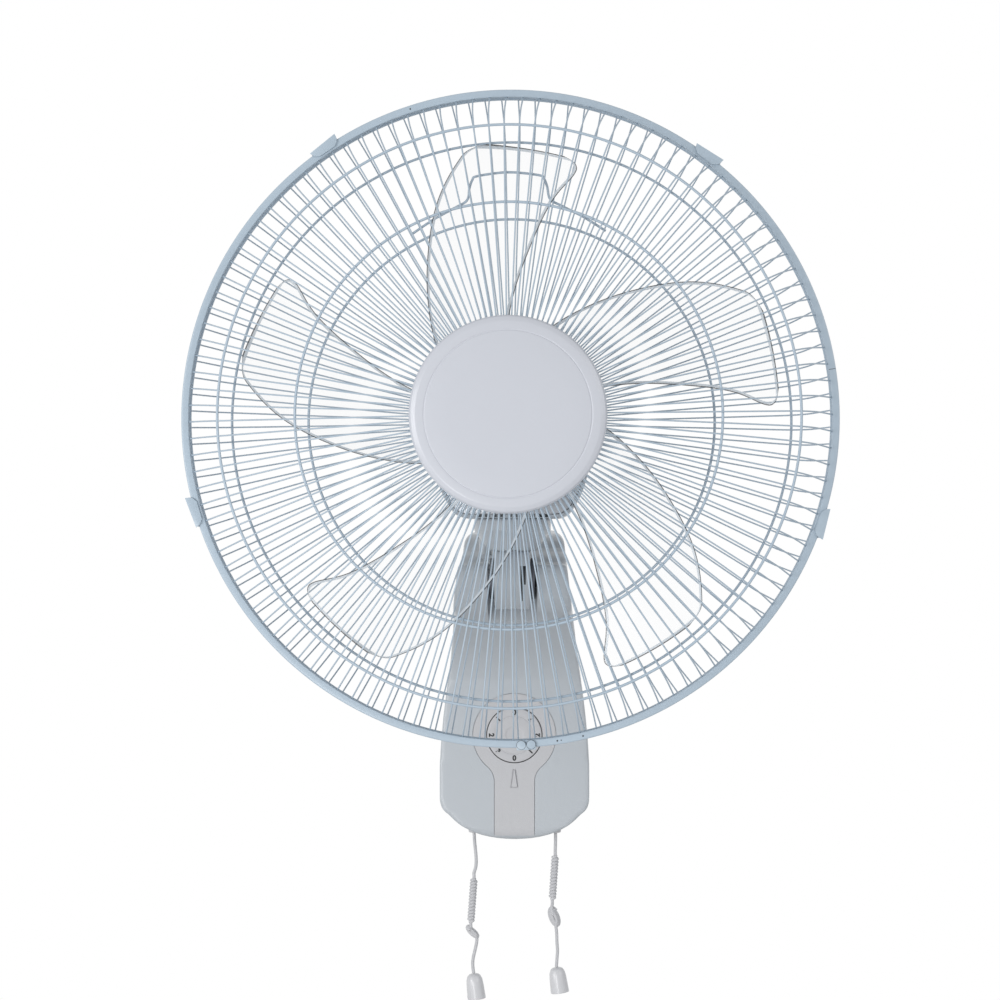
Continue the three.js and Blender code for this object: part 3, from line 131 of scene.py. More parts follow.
class Finish:
    """One material, built from sockets: node() adds a node, shade() sets the Principled shader."""

    def __init__(self, name, slot):
        self.material = bpy.data.materials.new(name)
        self.material.use_nodes = True
        self.tree = self.material.node_tree
        self.shader = self.tree.nodes["Principled BSDF"]
        self.slot = slot

    def node(self, kind, settings=None, sockets=None, output=0):
        node = self.tree.nodes.new(kind)
        for name, value in (settings or {}).items():
            if name == "stops":
                ramp = node.color_ramp
                while len(ramp.elements) < len(value):
                    ramp.elements.new(0.5)
                for element, (place, colour) in zip(ramp.elements, value):
                    element.position, element.color = place, colour
            else:
                setattr(node, name, value)
        self.feed(node, sockets or {})
        return Sum(self, node.outputs[output])

    def feed(self, node, sockets):
        for name, value in sockets.items():
            socket = node.inputs[name]
            if isinstance(value, Sum):
                self.tree.links.new(value.socket, socket)
            else:
                socket.default_value = value

    def place(self, stretch=(1, 1, 1)):
        where = self.node("ShaderNodeTexCoord", output="Object")
        return self.node("ShaderNodeMapping", sockets={"Vector": where, "Scale": stretch})

    def noise(self, scale, detail=2.0, stretch=(1, 1, 1)):
        sockets = {"Vector": self.place(stretch), "Scale": scale, "Detail": detail}
        return self.node("ShaderNodeTexNoise", sockets=sockets)

    def mix(self, amount, first, second):
        """first where amount is 0, second where it is 1."""
        settings = {"data_type": "RGBA", "clamp_factor": True}
        return self.node("ShaderNodeMix", settings, {0: amount, 6: first, 7: second}, output=2)

    def bump(self, height, depth, strength=1.0):
        return self.node("ShaderNodeBump", sockets={"Height": height, "Distance": depth, "Strength": strength})

    def shade(self, **sockets):
        self.feed(self.shader, {name.replace("_", " "): value for name, value in sockets.items()})
        return self


# %% [markdown]
# ## The finishes
#
# The photographed fan is pale: blue-grey powder coat on the steel, light grey moulded shells, a
# slightly glossier cap. Powder coat has a soft orange peel a few millimetres wide; a moulded
# shell has a fine spark-eroded grain; both drift a little in tone. The helper below turns those
# three facts into a finish, so that each material only states its numbers.

# %% Coats and moulded plastics
def coat(name, slot, colour, rough, peel_scale, peel_depth, drift=0.03, metallic=0.0, gloss=0.0):
    """A smooth paint or plastic with a fine grain."""
    finish = Finish(name, slot)
    cloud = finish.noise(9.0, 3.0)
    dull = tuple(c * (1 - drift) for c in colour)
    bright = tuple(min(1, c * (1 + drift)) for c in colour)
    smear = finish.noise(38.0, 4.0)
    grain = finish.noise(peel_scale, 1.5)
    finish.shade(
        Base_Color=finish.mix(cloud, linear(dull), linear(bright)), Roughness=(smear - 0.5) * 0.12 + rough,
        Metallic=metallic, Coat_Weight=gloss, Coat_Roughness=0.15, Normal=finish.bump(grain, peel_depth),
    )
    return finish


WIRE_COAT = coat("powder coated wire", "painted_steel", (0.69, 0.752, 0.805), 0.36, 900.0, 0.00006, gloss=0.25)
RIM_COAT = coat("powder coated rim", "painted_steel", (0.70, 0.76, 0.81), 0.38, 420.0, 0.0001, gloss=0.25)
CASE_PLASTIC = coat(
    "grained case plastic", "case_plastic", (0.735, 0.755, 0.775), 0.40, 1500.0, 0.00008, drift=0.015, gloss=0.25,
)
CAP_PLASTIC = coat("cap plastic", "cap_plastic", (0.80, 0.81, 0.84), 0.34, 700.0, 0.00004, drift=0.01, gloss=0.3)
TRIM_PLASTIC = coat("trim plastic", "trim_plastic", (0.765, 0.765, 0.775), 0.5, 1800.0, 0.00008, drift=0.015)
KNOB_PLASTIC = coat(
    "pull knob plastic", "trim_plastic", (0.82, 0.82, 0.83), 0.3, 500.0, 0.00005, drift=0.02, gloss=0.4,
)
DARK_PLASTIC = coat("dark plastic", "dark_plastic", (0.13, 0.14, 0.15), 0.5, 900.0, 0.0001, drift=0.08)
NUMERAL_INK = coat("numeral print", "dark_plastic", (0.09, 0.10, 0.11), 0.5, 2000.0, 0.00002, drift=0.04)


# %% [markdown]
# Bare metal differs from paint: its colour hardly drifts, but rolling and turning leave fine
# lines that spread a highlight. A noise that is stretched along one direction draws such lines.

# %% Metals
def metal(name, slot, colour, rough, stretch):
    finish = Finish(name, slot)
    lines = finish.noise(120.0, 6.0, stretch)
    spots = finish.noise(24.0, 4.0)
    dull = tuple(c * 0.88 for c in colour)
    finish.shade(
        Base_Color=finish.mix(spots, linear(dull), linear(colour)), Metallic=1.0,
        Roughness=(lines - 0.5) * 0.25 + rough, Normal=finish.bump(lines, 0.00005),
    )
    return finish


ZINC = metal("zinc plated steel", "sheet_steel", (0.74, 0.75, 0.77), 0.36, (1, 12, 12))
# Painted shade: the next finish is a copy of the zinc, darkened for the fork and bolt that sit in shade in the
# arm's slot.
SHADED_ZINC = metal("zinc with painted shade", "sheet_steel", (0.42, 0.43, 0.46), 0.45, (1, 12, 12))
TURNED_STEEL = metal("turned steel", "sheet_steel", (0.78, 0.79, 0.80), 0.28, (3, 40, 3))
COPPER = metal("enamelled copper", "copper", (0.78, 0.44, 0.26), 0.35, (30, 2, 30))
BRASS = metal("brass", "brass", (0.80, 0.68, 0.40), 0.34, (3, 3, 30))

# %% [markdown]
# The blades are one clear moulding, thin enough that a face seen squarely all but vanishes. What
# one sees of them is their rim: there the eye looks along the sheet instead of through it. So the
# finish is almost clear where the surface faces the eye and fills in towards grazing angles. The
# blade's border collects light on its inner side and hides it on its outer one, which draws a
# white line beside a dark one; both are painted here: a band near the border is made almost
# opaque in the pale sheet colour, a painted highlight, and its outermost part is coloured dark, a
# painted shade. The blade's UV map says how near a point is to the border, from 0 two
# millimetres inside to 1 on it. Faint flow marks show as a slow change of tone.

# %% Clear plastic
CLEAR_PLASTIC = Finish("clear blade plastic", "clear_plastic")
flow = CLEAR_PLASTIC.noise(14.0, 3.0, (1, 3, 1))
grazing = CLEAR_PLASTIC.node("ShaderNodeLayerWeight", sockets={"Blend": 0.35}, output=1)
border_uv = CLEAR_PLASTIC.node("ShaderNodeTexCoord", output="UV")
border = CLEAR_PLASTIC.node("ShaderNodeSeparateXYZ", sockets={"Vector": border_uv})
sheet = CLEAR_PLASTIC.mix(flow, linear((0.86, 0.89, 0.91)), linear((0.96, 0.98, 1.0)))
# Painted highlight and painted shade: a nearly opaque pale band along the border, dark at its very edge.
CLEAR_PLASTIC.shade(
    Base_Color=CLEAR_PLASTIC.mix(border > 0.68, sheet, linear((0.07, 0.08, 0.09))),
    Roughness=flow * 0.06 + 0.06,
    Alpha=(grazing * grazing * grazing * 0.7 + (border > 0.05) * 0.62 + 0.035).clamped(),
)

# %% [markdown]
# A pull cord is braided from fine white yarn. The strands cross in two directions round the
# cord, so the pattern follows the tube's own UV map: v runs once round it and u runs along it in
# metres. Two slanted sine waves make the crossing strands.

# %% Braided cord
BRAID = Finish("braided cord", "cord")
cord_uv = BRAID.node("ShaderNodeTexCoord", output="UV")
along = BRAID.node("ShaderNodeSeparateXYZ", sockets={"Vector": cord_uv})
around = BRAID.node("ShaderNodeSeparateXYZ", sockets={"Vector": cord_uv}, output=1)
over = (along * 4200.0 + around * 25.13).sine()
under = (along * 4200.0 - around * 25.13).sine()
strands = (over * under) * 0.5 + 0.5
fuzz = BRAID.noise(2600.0, 3.0)
BRAID.shade(
    Base_Color=BRAID.mix(strands * 0.7 + fuzz * 0.3, linear((0.72, 0.72, 0.73)), linear((0.90, 0.90, 0.91))),
    Roughness=fuzz * 0.1 + 0.8, Sheen_Weight=0.3, Normal=BRAID.bump(strands + fuzz * 0.3, 0.00025),
)
print("finishes", len(bpy.data.materials))

# %% [markdown]
# ## Camera, light and floor
#
# The photographer stood level with the lower part of the guard, almost straight in front, with a
# long lens: the guard's front and rear rings nearly line up. The light is soft and even. A large
# lamp on each side, a small one in front and a pale world copy that. What the camera sees behind
# the fan is plain white, straight, through its clear plastic and in its gloss; the light that
# falls on it from all round comes from a dimmer, bluish colour of the same world.

# %% Camera
SIGHT_DISTANCE = 1.87  # from the lens to the plane of the rim
VIEW_WIDE = 0.670  # what the frame holds in that plane
SIDE_STEP = 0.036
LENS_HEIGHT = 0.105
RIM_IN_FRAME = (0.0066, 0.0546)  # how far right of and above the frame's middle the rim's centre lies

lens = bpy.data.cameras.new("camera")
camera = bpy.data.objects.new("camera", lens)
bpy.context.collection.objects.link(camera)
bpy.context.scene.camera = camera
lens.angle = 2 * math.atan(VIEW_WIDE / 2 / SIGHT_DISTANCE)
camera.location = (SIDE_STEP, AXIS_Y * MM - SIGHT_DISTANCE, LENS_HEIGHT)
turn = math.atan((SIDE_STEP + RIM_IN_FRAME[0]) / SIGHT_DISTANCE)
pitch = math.atan((AXIS_Z * MM - LENS_HEIGHT - RIM_IN_FRAME[1]) / SIGHT_DISTANCE)
camera.rotation_euler = (math.pi / 2 + pitch, 0, turn)
print("lens", round(lens.lens, 1), "mm")

# %% Lamps and world
def lamp(name, place, aim, size, power):
    light = bpy.data.lights.new(name, "AREA")
    light.size, light.energy = size, power
    holder = bpy.data.objects.new(name, light)
    bpy.context.collection.objects.link(holder)
    holder.location = place
    holder.rotation_euler = (Vector(aim) - Vector(place)).to_track_quat("-Z", "Y").to_euler()


FAN_MIDDLE = (0, -0.2, 0.1)
lamp("left lamp", (-1.7, -1.9, 0.2), FAN_MIDDLE, 1.2, 22)
lamp("right lamp", (1.7, -1.7, 0.9), FAN_MIDDLE, 1.2, 8)
lamp("front lamp", (-0.4, -1.3, -0.3), (0, -0.1, 0.0), 0.3, 2.4)

world = bpy.data.worlds.new("pale room")
bpy.context.scene.world = world
world.use_nodes = True
sky = world.node_tree
room = sky.nodes["Background"]
room.inputs["Color"].default_value = (0.93, 0.95, 0.97, 1)
room.inputs["Strength"].default_value = 0.5
white = sky.nodes.new("ShaderNodeBackground")
path = sky.nodes.new("ShaderNodeLightPath")
choose = sky.nodes.new("ShaderNodeMixShader")
seeing = path.outputs["Is Camera Ray"]
for kind in ("Is Glossy Ray", "Is Transmission Ray"):
    either = sky.nodes.new("ShaderNodeMath")
    either.operation = "MAXIMUM"
    sky.links.new(seeing, either.inputs[0])
    sky.links.new(path.outputs[kind], either.inputs[1])
    seeing = either.outputs[0]
sky.links.new(seeing, choose.inputs[0])
sky.links.new(room.outputs[0], choose.inputs[1])
sky.links.new(white.outputs[0], choose.inputs[2])
sky.links.new(choose.outputs[0], sky.nodes["World Output"].inputs[0])
white.inputs["Color"].default_value = (1, 1, 1, 1)
bpy.context.scene.view_settings.view_transform = "Standard"


# %% [markdown]
# ## Making pieces
#
# Every finished piece is an object at the origin with its place in its mesh, one finish, and a
# body that it rides on. The helper below does that last step for all of them: it gives shading
# that is smooth across gentle turns and crisp at real edges, hides the solids that the piece
# stands for, and says which body carries it.

# %% The finishing helper
def soften(obj, degrees=32):
    """Smooth across gentle turns, crisp where two faces meet at a real edge."""
    mesh = obj.data
    limit = math.radians(degrees)
    work = bmesh.new()
    work.from_mesh(mesh)
    for face in work.faces:
        face.smooth = True
    for edge in work.edges:
        edge.smooth = len(edge.link_faces) == 2 and edge.calc_face_angle(0) < limit
    work.to_mesh(mesh)
    work.free()


def piece(name, mesh, finish, body, nodes=(), degrees=32):
    obj = bpy.data.objects.new(name, mesh)
    bpy.context.collection.objects.link(obj)
    mesh.materials.clear()
    mesh.materials.append(finish.material)
    soften(obj, degrees)
    if nodes:
        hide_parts(*nodes)
    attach(obj, body)
    print(name, len(mesh.polygons), "faces on", body)
    return obj


# %% Floor
def mesh_of(name, work, outward=True):
    """A bmesh in millimetres, closed off as a mesh in metres with its faces outward."""
    bmesh.ops.remove_doubles(work, verts=work.verts, dist=0.001)
    if outward:
        bmesh.ops.recalc_face_normals(work, faces=work.faces)
    bmesh.ops.scale(work, vec=(MM, MM, MM), verts=work.verts)
    mesh = bpy.data.meshes.new(name)
    work.to_mesh(mesh)
    work.free()
    return mesh


disc = bmesh.new()
bmesh.ops.create_circle(disc, cap_ends=True, segments=96, radius=900)
bmesh.ops.translate(disc, vec=(0, -200, -430), verts=disc.verts)
FLOOR_PAINT = coat("pale floor", "none", (0.93, 0.93, 0.93), 0.6, 90.0, 0.0001, drift=0.01)
floor = bpy.data.objects.new("floor", mesh_of("floor", disc))
floor.data.materials.append(FLOOR_PAINT.material)
bpy.context.collection.objects.link(floor)

# %% [markdown]
# ## The pull cords
#
# Each cord leaves the case through a small bush, hangs down, is wound round itself to take up
# length, is knotted and ends in a bell-shaped knob. Its length here is the one along its middle
# line, loops included, without the knot. The line's ends repeat the solids' points. The winding
# is finer and starts a few millimetres higher than the solids', so the points next to it differ.
# The tube round the line is a mesh with a UV map that runs along the cord, which the braid needs.

# %% Cord routes
WIND_R, WIND_PITCH, WIND_LOOPS = 1.65, 2.36, 14
PULLS = {
    "left": {
        "side": -1, "top": 21.8, "lean": -2.4, "tilt": 7, "body": "oscillation_pull",
        "upper": [(0, 0), (0.4, -8), (1.2, -16), (1.6, -22), (1.2, -27), (0.0, -31)],
        "lower": [
            (-3.4, -71.6), (-2.6, -73.6), (0.0, -76.0), (1.9, -78.6), (1.9, -82), (0.9, -87), (-0.5, -93),
            (-1.0, -98), (-0.3, -104.6),
        ],
        "knot": (-0.9, -74.6, 3.3, 6.9, -46), "turns": 2.2,
    },
    "right": {
        "side": 1, "top": 68.2, "lean": -2.2, "tilt": 8, "body": "speed_pull",
        "upper": [(0, 0), (0, -5), (-0.1, -10), (-0.2, -14)],
        "lower": [
            (-2.6, -55), (-2.8, -59), (-1.2, -64), (0.2, -70), (0.8, -76), (1, -82), (1.4, -88), (1, -94),
            (0.6, -99.8),
        ],
        "knot": (-0.8, -63.4, 4.6, 8.4, -20), "turns": 3.3,
    },
}


def cord_line(pull):
    """The middle line of one pull cord, from its lever down to the knob, in millimetres."""
    start_x, start_z = pull["upper"][-1]
    lead = 2 * CORD_R
    line = [(0, 0, pull["top"]), (0, 0, pull["top"] / 2)] + [(x, 0, z) for x, z in pull["upper"]]
    line.append((start_x, 0, start_z - 0.3 - lead))
    steps = WIND_LOOPS * 16
    for i in range(1, steps):
        share = i / steps
        turn = 2 * math.pi * i / 16
        ramp = min(1, i / 14, (steps - i) / 14)
        swell = WIND_R * ramp * ramp * (3 - 2 * ramp)
        line.append((
            start_x + pull["lean"] * share + swell * math.sin(turn), swell * math.cos(turn),
            start_z - 1.3 - lead - WIND_LOOPS * WIND_PITCH * share,
        ))
    end_z = start_z - 1.3 - lead - WIND_LOOPS * WIND_PITCH
    line += [(start_x + pull["lean"], 0, end_z - 1), (start_x + pull["lean"], 0, end_z - 1 - lead)]
    line += [(x, 0, z) for x, z in pull["lower"]]
    return [Vector((pull["side"] * CORD_X + x, CORD_Y + y, CORD_EXIT_Z + z)) for x, y, z in line]


def rounded_line(points, step):
    """The same route as one smooth curve, sampled every step millimetres."""
    fine = []
    for i in range(len(points) - 1):
        a, b = points[i], points[i + 1]
        before, after = points[max(i - 1, 0)], points[min(i + 2, len(points) - 1)]
        count = max(1, round((b - a).length / step))
        for k in range(count):
            t = k / count
            fine.append(0.5 * (
                2 * a + (b - before) * t + (2 * before - 5 * a + 4 * b - after) * t * t
                + (3 * a - before - 3 * b + after) * t * t * t
            ))
    return fine + [points[-1]]


def line_length(points):
    return sum((b - a).length for a, b in zip(points, points[1:]))


# %% The tube along a line
def tube(name, points, radius, sides=12, swell=None):
    """A closed tube along a line, with u in metres along it and v once round it."""
    work = bmesh.new()
    sheet = work.loops.layers.uv.new("UVMap")
    across = Vector((0, 1, 0))
    rings, run = [], 0.0
    for i, point in enumerate(points):
        ahead = (points[min(i + 1, len(points) - 1)] - points[max(i - 1, 0)]).normalized()
        across = (across - ahead * across.dot(ahead)).normalized()
        second = ahead.cross(across)
        run += (point - points[i - 1]).length * MM if i else 0.0
        size = radius * (swell(i) if swell else 1.0)
        ring = []
        for k in range(sides):
            turn = 2 * math.pi * k / sides
            ring.append(work.verts.new(point + (across * math.cos(turn) + second * math.sin(turn)) * size))
        rings.append((run, ring))
    for (u0, low), (u1, high) in zip(rings, rings[1:]):
        for k in range(sides):
            face = work.faces.new((low[k], low[(k + 1) % sides], high[(k + 1) % sides], high[k]))
            for loop, uv in zip(face.loops, ((u0, k), (u0, k + 1), (u1, k + 1), (u1, k))):
                loop[sheet].uv = (uv[0], uv[1] / sides)
    work.faces.new(rings[0][1][::-1])
    work.faces.new(rings[-1][1])
    return mesh_of(name, work)

# %% [markdown]
# The knob is a moulded bell with a domed crown and a hollow underside. It is turned from a
# profile, tilted a little because a light knob on a stiff new cord never hangs quite straight,
# and its outline follows the solid's.

# %% Turned shapes
def turned(name, profile, sides=128, axis="y", at=(0, 0, 0), tilt=0.0):
    """A profile of (radius, along) points, turned about an axis and closed where it meets it."""
    work = bmesh.new()
    rows = []
    for radius, along in profile:
        if radius == 0:
            rows.append([work.verts.new((0, 0, along))])
        else:
            spin = [2 * math.pi * k / sides for k in range(sides)]
            rows.append([work.verts.new((radius * math.cos(a), radius * math.sin(a), along)) for a in spin])
    closed = profile[0][0] != 0 and profile[-1][0] != 0
    for low, high in zip(rows, rows[1:] + rows[:1] if closed else rows[1:]):
        for k in range(sides):
            ring = [low[k % len(low)], low[(k + 1) % len(low)], high[(k + 1) % len(high)], high[k % len(high)]]
            corners = list(dict.fromkeys(ring))
            if len(corners) > 2:
                work.faces.new(corners)
    if axis == "y":
        bmesh.ops.rotate(work, matrix=Matrix.Rotation(-math.pi / 2, 3, "X"), verts=work.verts)
    if axis == "x":
        bmesh.ops.rotate(work, matrix=Matrix.Rotation(math.pi / 2, 3, "Y"), verts=work.verts)
    if tilt:
        bmesh.ops.rotate(work, matrix=Matrix.Rotation(math.radians(tilt), 3, "Y"), verts=work.verts)
    bmesh.ops.translate(work, vec=at, verts=work.verts)
    return mesh_of(name, work)


def rounded(profile, radius, steps=5, closed=False):
    """The profile with an arc of that radius at each corner, so that a turned edge is never sharp."""
    points = [Vector(p) for p in profile]
    out = []
    count = len(points)
    for i, corner in enumerate(points):
        if not closed and i in (0, count - 1):
            out.append(tuple(corner))
            continue
        before, after = points[i - 1], points[(i + 1) % count]
        to_before, to_after = before - corner, after - corner
        reach = min(radius, to_before.length * 0.45, to_after.length * 0.45)
        start, end = corner + to_before.normalized() * reach, corner + to_after.normalized() * reach
        for k in range(steps + 1):
            t = k / steps
            out.append(tuple(start * (1 - t) ** 2 + corner * 2 * t * (1 - t) + end * t * t))
    return out


def joined(name, *meshes):
    """Several meshes as one."""
    work = bmesh.new()
    for mesh in meshes:
        work.from_mesh(mesh)
    whole = bpy.data.meshes.new(name)
    work.to_mesh(whole)
    work.free()
    return whole


# %% Cords and knobs
def knot_line(pull):
    """The cord's turns round itself in the knot: slanted loops that grow smaller towards the eye."""
    x, z, half, tall, lean = pull["knot"]
    centre = Vector((pull["side"] * CORD_X + x, CORD_Y, CORD_EXIT_Z + z))
    slant = Matrix.Rotation(math.radians(lean), 3, "Y")
    points = []
    steps = round(40 * pull["turns"])
    for k in range(steps + 1):
        share = k / steps
        turn = 2 * math.pi * pull["turns"] * share + 0.6
        wide, high = (half - CORD_R) * (1 - 0.8 * share), (tall - CORD_R) * (1 - 0.5 * share)
        points.append(centre + slant @ Vector((wide * math.cos(turn), 1.8 - 3.4 * share, high * math.sin(turn))))
    return points


for side, pull in PULLS.items():
    line = rounded_line(cord_line(pull), 0.5)
    length = line_length(line) * MM
    mesh = tube(f"{side} pull cord", line, CORD_R)
    cord = piece(
        f"{side}_cord", mesh, BRAID, pull["body"],
        [f"{side}_upper_cord", f"{side}_cord_winding", f"{side}_lower_cord"], degrees=80,
    )
    x, z = pull["lower"][-1]
    tall, wide = 19.0, 6.8
    bell = rounded([
        (0, -0.3), (2.6, -0.3), (4.7, -1.6), (5.9, -4.6), (6.35, -9), (wide, -tall + 0.3), (wide - 0.3, -tall),
        (wide - 1.3, -tall), (wide - 1.8, -tall + 1), (4, -tall + 5), (0, -tall + 5),
    ], 1.2)
    place = (pull["side"] * CORD_X + x, CORD_Y, CORD_EXIT_Z + z)
    knob_mesh = turned(f"{side} knob", bell, 64, "z", place, -pull["tilt"])
    knob = piece(f"{side}_knob", knob_mesh, KNOB_PLASTIC, pull["body"], [f"{side}_pull_knob"], degrees=50)
    knot = piece(f"{side}_knot", tube(f"{side} knot", knot_line(pull), CORD_R), BRAID, pull["body"], degrees=80)
    top = [c * MM for c in (pull["side"] * CORD_X, CORD_Y, CORD_EXIT_Z + pull["top"])]
    [[c * MM for c in p] for p in line]
    print(side, "cord", round(length * 1000), "mm long")

# %% [markdown]
# ## The wire guards
#
# Each guard has 120 thin wires that run out from a hub, bend at a shoulder and end on a thick
# wire hidden in the rim; two thin rings are welded across them. One wire, turned 120 times, is
# a job for Geometry Nodes: the wire's line is the tree's input, the count and the radii are its
# named sockets, and the rings are added in the same tree. Realize Instances makes real geometry
# of it, because the export drops instances.

# %% The guard tree
class Tree:
    """A Geometry Nodes group, made node by node, with named inputs."""

    def __init__(self, name, inputs):
        self.group = bpy.data.node_groups.new(name, "GeometryNodeTree")
        face = self.group.interface
        face.new_socket("Geometry", in_out="INPUT", socket_type="NodeSocketGeometry")
        face.new_socket("Geometry", in_out="OUTPUT", socket_type="NodeSocketGeometry")
        self.names = {}
        for label, (kind, value) in inputs.items():
            socket = face.new_socket(label, in_out="INPUT", socket_type=kind)
            if value is not None:
                socket.default_value = value
            self.names[label] = socket.identifier
        self.start = self.group.nodes.new("NodeGroupInput")
        self.end = self.group.nodes.new("NodeGroupOutput")

    def value(self, label):
        return self.start.outputs[label]

    def node(self, kind, settings=None, sockets=None, output=0):
        node = self.group.nodes.new(kind)
        for name, value in (settings or {}).items():
            setattr(node, name, value)
        for name, value in (sockets or {}).items():
            for one in value if isinstance(value, list) else [value]:
                if isinstance(one, bpy.types.NodeSocket):
                    self.group.links.new(one, node.inputs[name])
                else:
                    node.inputs[name].default_value = one
        return node.outputs[output]

    def finish(self, shape):
        real = self.node("GeometryNodeRealizeInstances", sockets={"Geometry": shape})
        dressed = self.node("GeometryNodeSetMaterial", sockets={"Geometry": real, "Material": self.value("Finish")})
        self.group.links.new(dressed, self.end.inputs[0])

    def grow(self, name, seed_mesh, values):
        """Runs the tree on a mesh and returns the result as a plain mesh."""
        carrier = bpy.data.objects.new(name, seed_mesh)
        bpy.context.collection.objects.link(carrier)
        modifier = carrier.modifiers.new(name, "NODES")
        modifier.node_group = self.group
        for label, value in values.items():
            modifier[self.names[label]] = value
        bpy.context.view_layer.update()
        seen = carrier.evaluated_get(bpy.context.evaluated_depsgraph_get())
        mesh = bpy.data.meshes.new_from_object(seen)
        bpy.data.objects.remove(carrier)
        return mesh


def guard_tree():
    tree = Tree("wire guard", {
        "Wires": ("NodeSocketInt", 120), "Wire Radius": ("NodeSocketFloat", 0.0009),
        "Bend": ("NodeSocketFloat", 0.02), "Start": ("NodeSocketFloat", 0.0),
        "Ring Radius": ("NodeSocketFloat", 0.00115), "Edge Radius": ("NodeSocketFloat", 0.0018),
        "Inner Ring": ("NodeSocketFloat", 0.14), "Inner Depth": ("NodeSocketFloat", 0.0),
        "Outer Ring": ("NodeSocketFloat", 0.194), "Outer Depth": ("NodeSocketFloat", 0.0),
        "Edge Ring": ("NodeSocketFloat", 0.2167), "Edge Depth": ("NodeSocketFloat", 0.0),
        "Finish": ("NodeSocketMaterial", None),
    })
    node, value = tree.node, tree.value
    line = node("GeometryNodeMeshToCurve", sockets={"Mesh": value("Geometry")})
    bent = node("GeometryNodeFilletCurve", {"mode": "POLY"}, {"Curve": line, "Radius": value("Bend"), "Count": 6})
    round_wire = node("GeometryNodeCurvePrimitiveCircle", sockets={"Resolution": 8, "Radius": value("Wire Radius")})
    wire = node("GeometryNodeCurveToMesh", sockets={"Curve": bent, "Profile Curve": round_wire, "Fill Caps": True})
    spots = node("GeometryNodePoints", sockets={"Count": value("Wires")})
    index = node("GeometryNodeInputIndex")
    full = node("ShaderNodeMath", {"operation": "DIVIDE"}, {0: 2 * math.pi, 1: value("Wires")})
    step = node("ShaderNodeMath", {"operation": "MULTIPLY_ADD"}, {0: index, 1: full, 2: value("Start")})
    angle = node("ShaderNodeCombineXYZ", sockets={"Y": step})
    spokes = node("GeometryNodeInstanceOnPoints", sockets={"Points": spots, "Instance": wire, "Rotation": angle})
    parts = [spokes]
    for ring in ("Inner", "Outer", "Edge"):
        ring_size = {"Resolution": 240, "Radius": value(f"{ring} Ring")}
        circle = node("GeometryNodeCurvePrimitiveCircle", sockets=ring_size)
        thick = value("Edge Radius" if ring == "Edge" else "Ring Radius")
        section = node("GeometryNodeCurvePrimitiveCircle", sockets={"Resolution": 10, "Radius": thick})
        hoop = node("GeometryNodeCurveToMesh", sockets={"Curve": circle, "Profile Curve": section})
        depth = node("ShaderNodeCombineXYZ", sockets={"Y": value(f"{ring} Depth")})
        turn = {"Geometry": hoop, "Rotation": (math.pi / 2, 0, 0), "Translation": depth}
        parts.append(node("GeometryNodeTransform", sockets=turn))
    tree.finish(node("GeometryNodeJoinGeometry", sockets={"Geometry": parts}))
    return tree


GUARD_TREE = guard_tree()

# %% [markdown]
# The two guards differ in their hubs and shoulders only. Their wires lie nearly behind each other
# and part towards the rim, because the ends of each guard's wires were pressed a little sideways
# when they were welded to the edge wire. The front wires end under the cap; the rear ones end on
# a pressed plate round the motor's nose, which carries stiffening steps.

# %% Guards
def guard_mesh(name, hub_r, hub_y, shoulder_r, shoulder_y, edge_y, start, skew, bend):
    """One guard; start turns its first wire, clockwise in degrees, and skew lifts the wires' outer ends."""
    line = [(hub_r, hub_y, 0), (shoulder_r, shoulder_y, 0), (EDGE_RING_R - EDGE_WIRE_R * 0.6, edge_y, skew)]
    slope = (shoulder_y - hub_y) / (shoulder_r - hub_r)
    steep = math.hypot(1, slope)
    seed = bpy.data.meshes.new(name)
    seed.from_pydata([[c * MM for c in point] for point in line], [(0, 1), (1, 2)], [])
    rings = {"Inner": 140.0, "Outer": 192.0}
    values = {"Wires": WIRES, "Wire Radius": WIRE_R * MM, "Bend": bend * MM, "Finish": WIRE_COAT.material}
    values["Start"] = math.radians(start)
    for ring, radius in rings.items():
        depth = hub_y + slope * (radius - hub_r) + (WIRE_R + BAND_R - 0.3) * steep
        values[f"{ring} Ring"], values[f"{ring} Depth"] = radius * MM, depth * MM
    values.update({
        "Ring Radius": BAND_R * MM, "Edge Radius": EDGE_WIRE_R * MM,
        "Edge Ring": EDGE_RING_R * MM, "Edge Depth": edge_y * MM,
    })
    mesh = GUARD_TREE.grow(name, seed, values)
    mesh.transform(Matrix.Translation((0, AXIS_Y * MM, AXIS_Z * MM)))
    return mesh


front_wires = guard_mesh("front wires", 52, -62, 199, -38, -EDGE_RING_Y, -0.92, -1.2, 30)
front_ring_profile = rounded([(50, -64), (61, -64), (61, -60), (50, -60)], 1.2, closed=True)
front_ring = turned("front hub ring", front_ring_profile, at=(0, AXIS_Y, AXIS_Z))
piece("front_wire_guard", joined("front guard", front_wires, front_ring), WIRE_COAT, "head", ["front_guard"], 50)
rear_wires = guard_mesh("rear wires", 55, 64.5, 200, 42, EDGE_RING_Y, -1.18, 1.2, 30)
plate_profile = [
    (15.4, 62.5), (22, 62.5), (26, 64), (46, 64), (49, 62.5), (58, 62.5),
    (58, 66.5), (50, 66.5), (47, 66), (26, 66), (22, 66.5), (15.4, 66.5),
]
rear_plate = turned("rear plate", rounded(plate_profile, 0.9, 3, closed=True), at=(0, AXIS_Y, AXIS_Z))
piece("rear_wire_guard", joined("rear guard", rear_wires, rear_plate), WIRE_COAT, "head", ["rear_guard"], 50)

# %% [markdown]
# The arched wire on top of the rear guard is the handle by which the head is lifted. It is one
# bent wire, so it is a tube along a rounded line that follows the guard's own slope.

# %% Handle wire
def on_rear_guard(radius, turn, lift):
    depth = 64.5 + (42 - 64.5) * (radius - 58) / (199 - 58) + lift
    angle = math.radians(turn)
    return Vector((radius * math.cos(angle), AXIS_Y + depth, AXIS_Z + radius * math.sin(angle)))


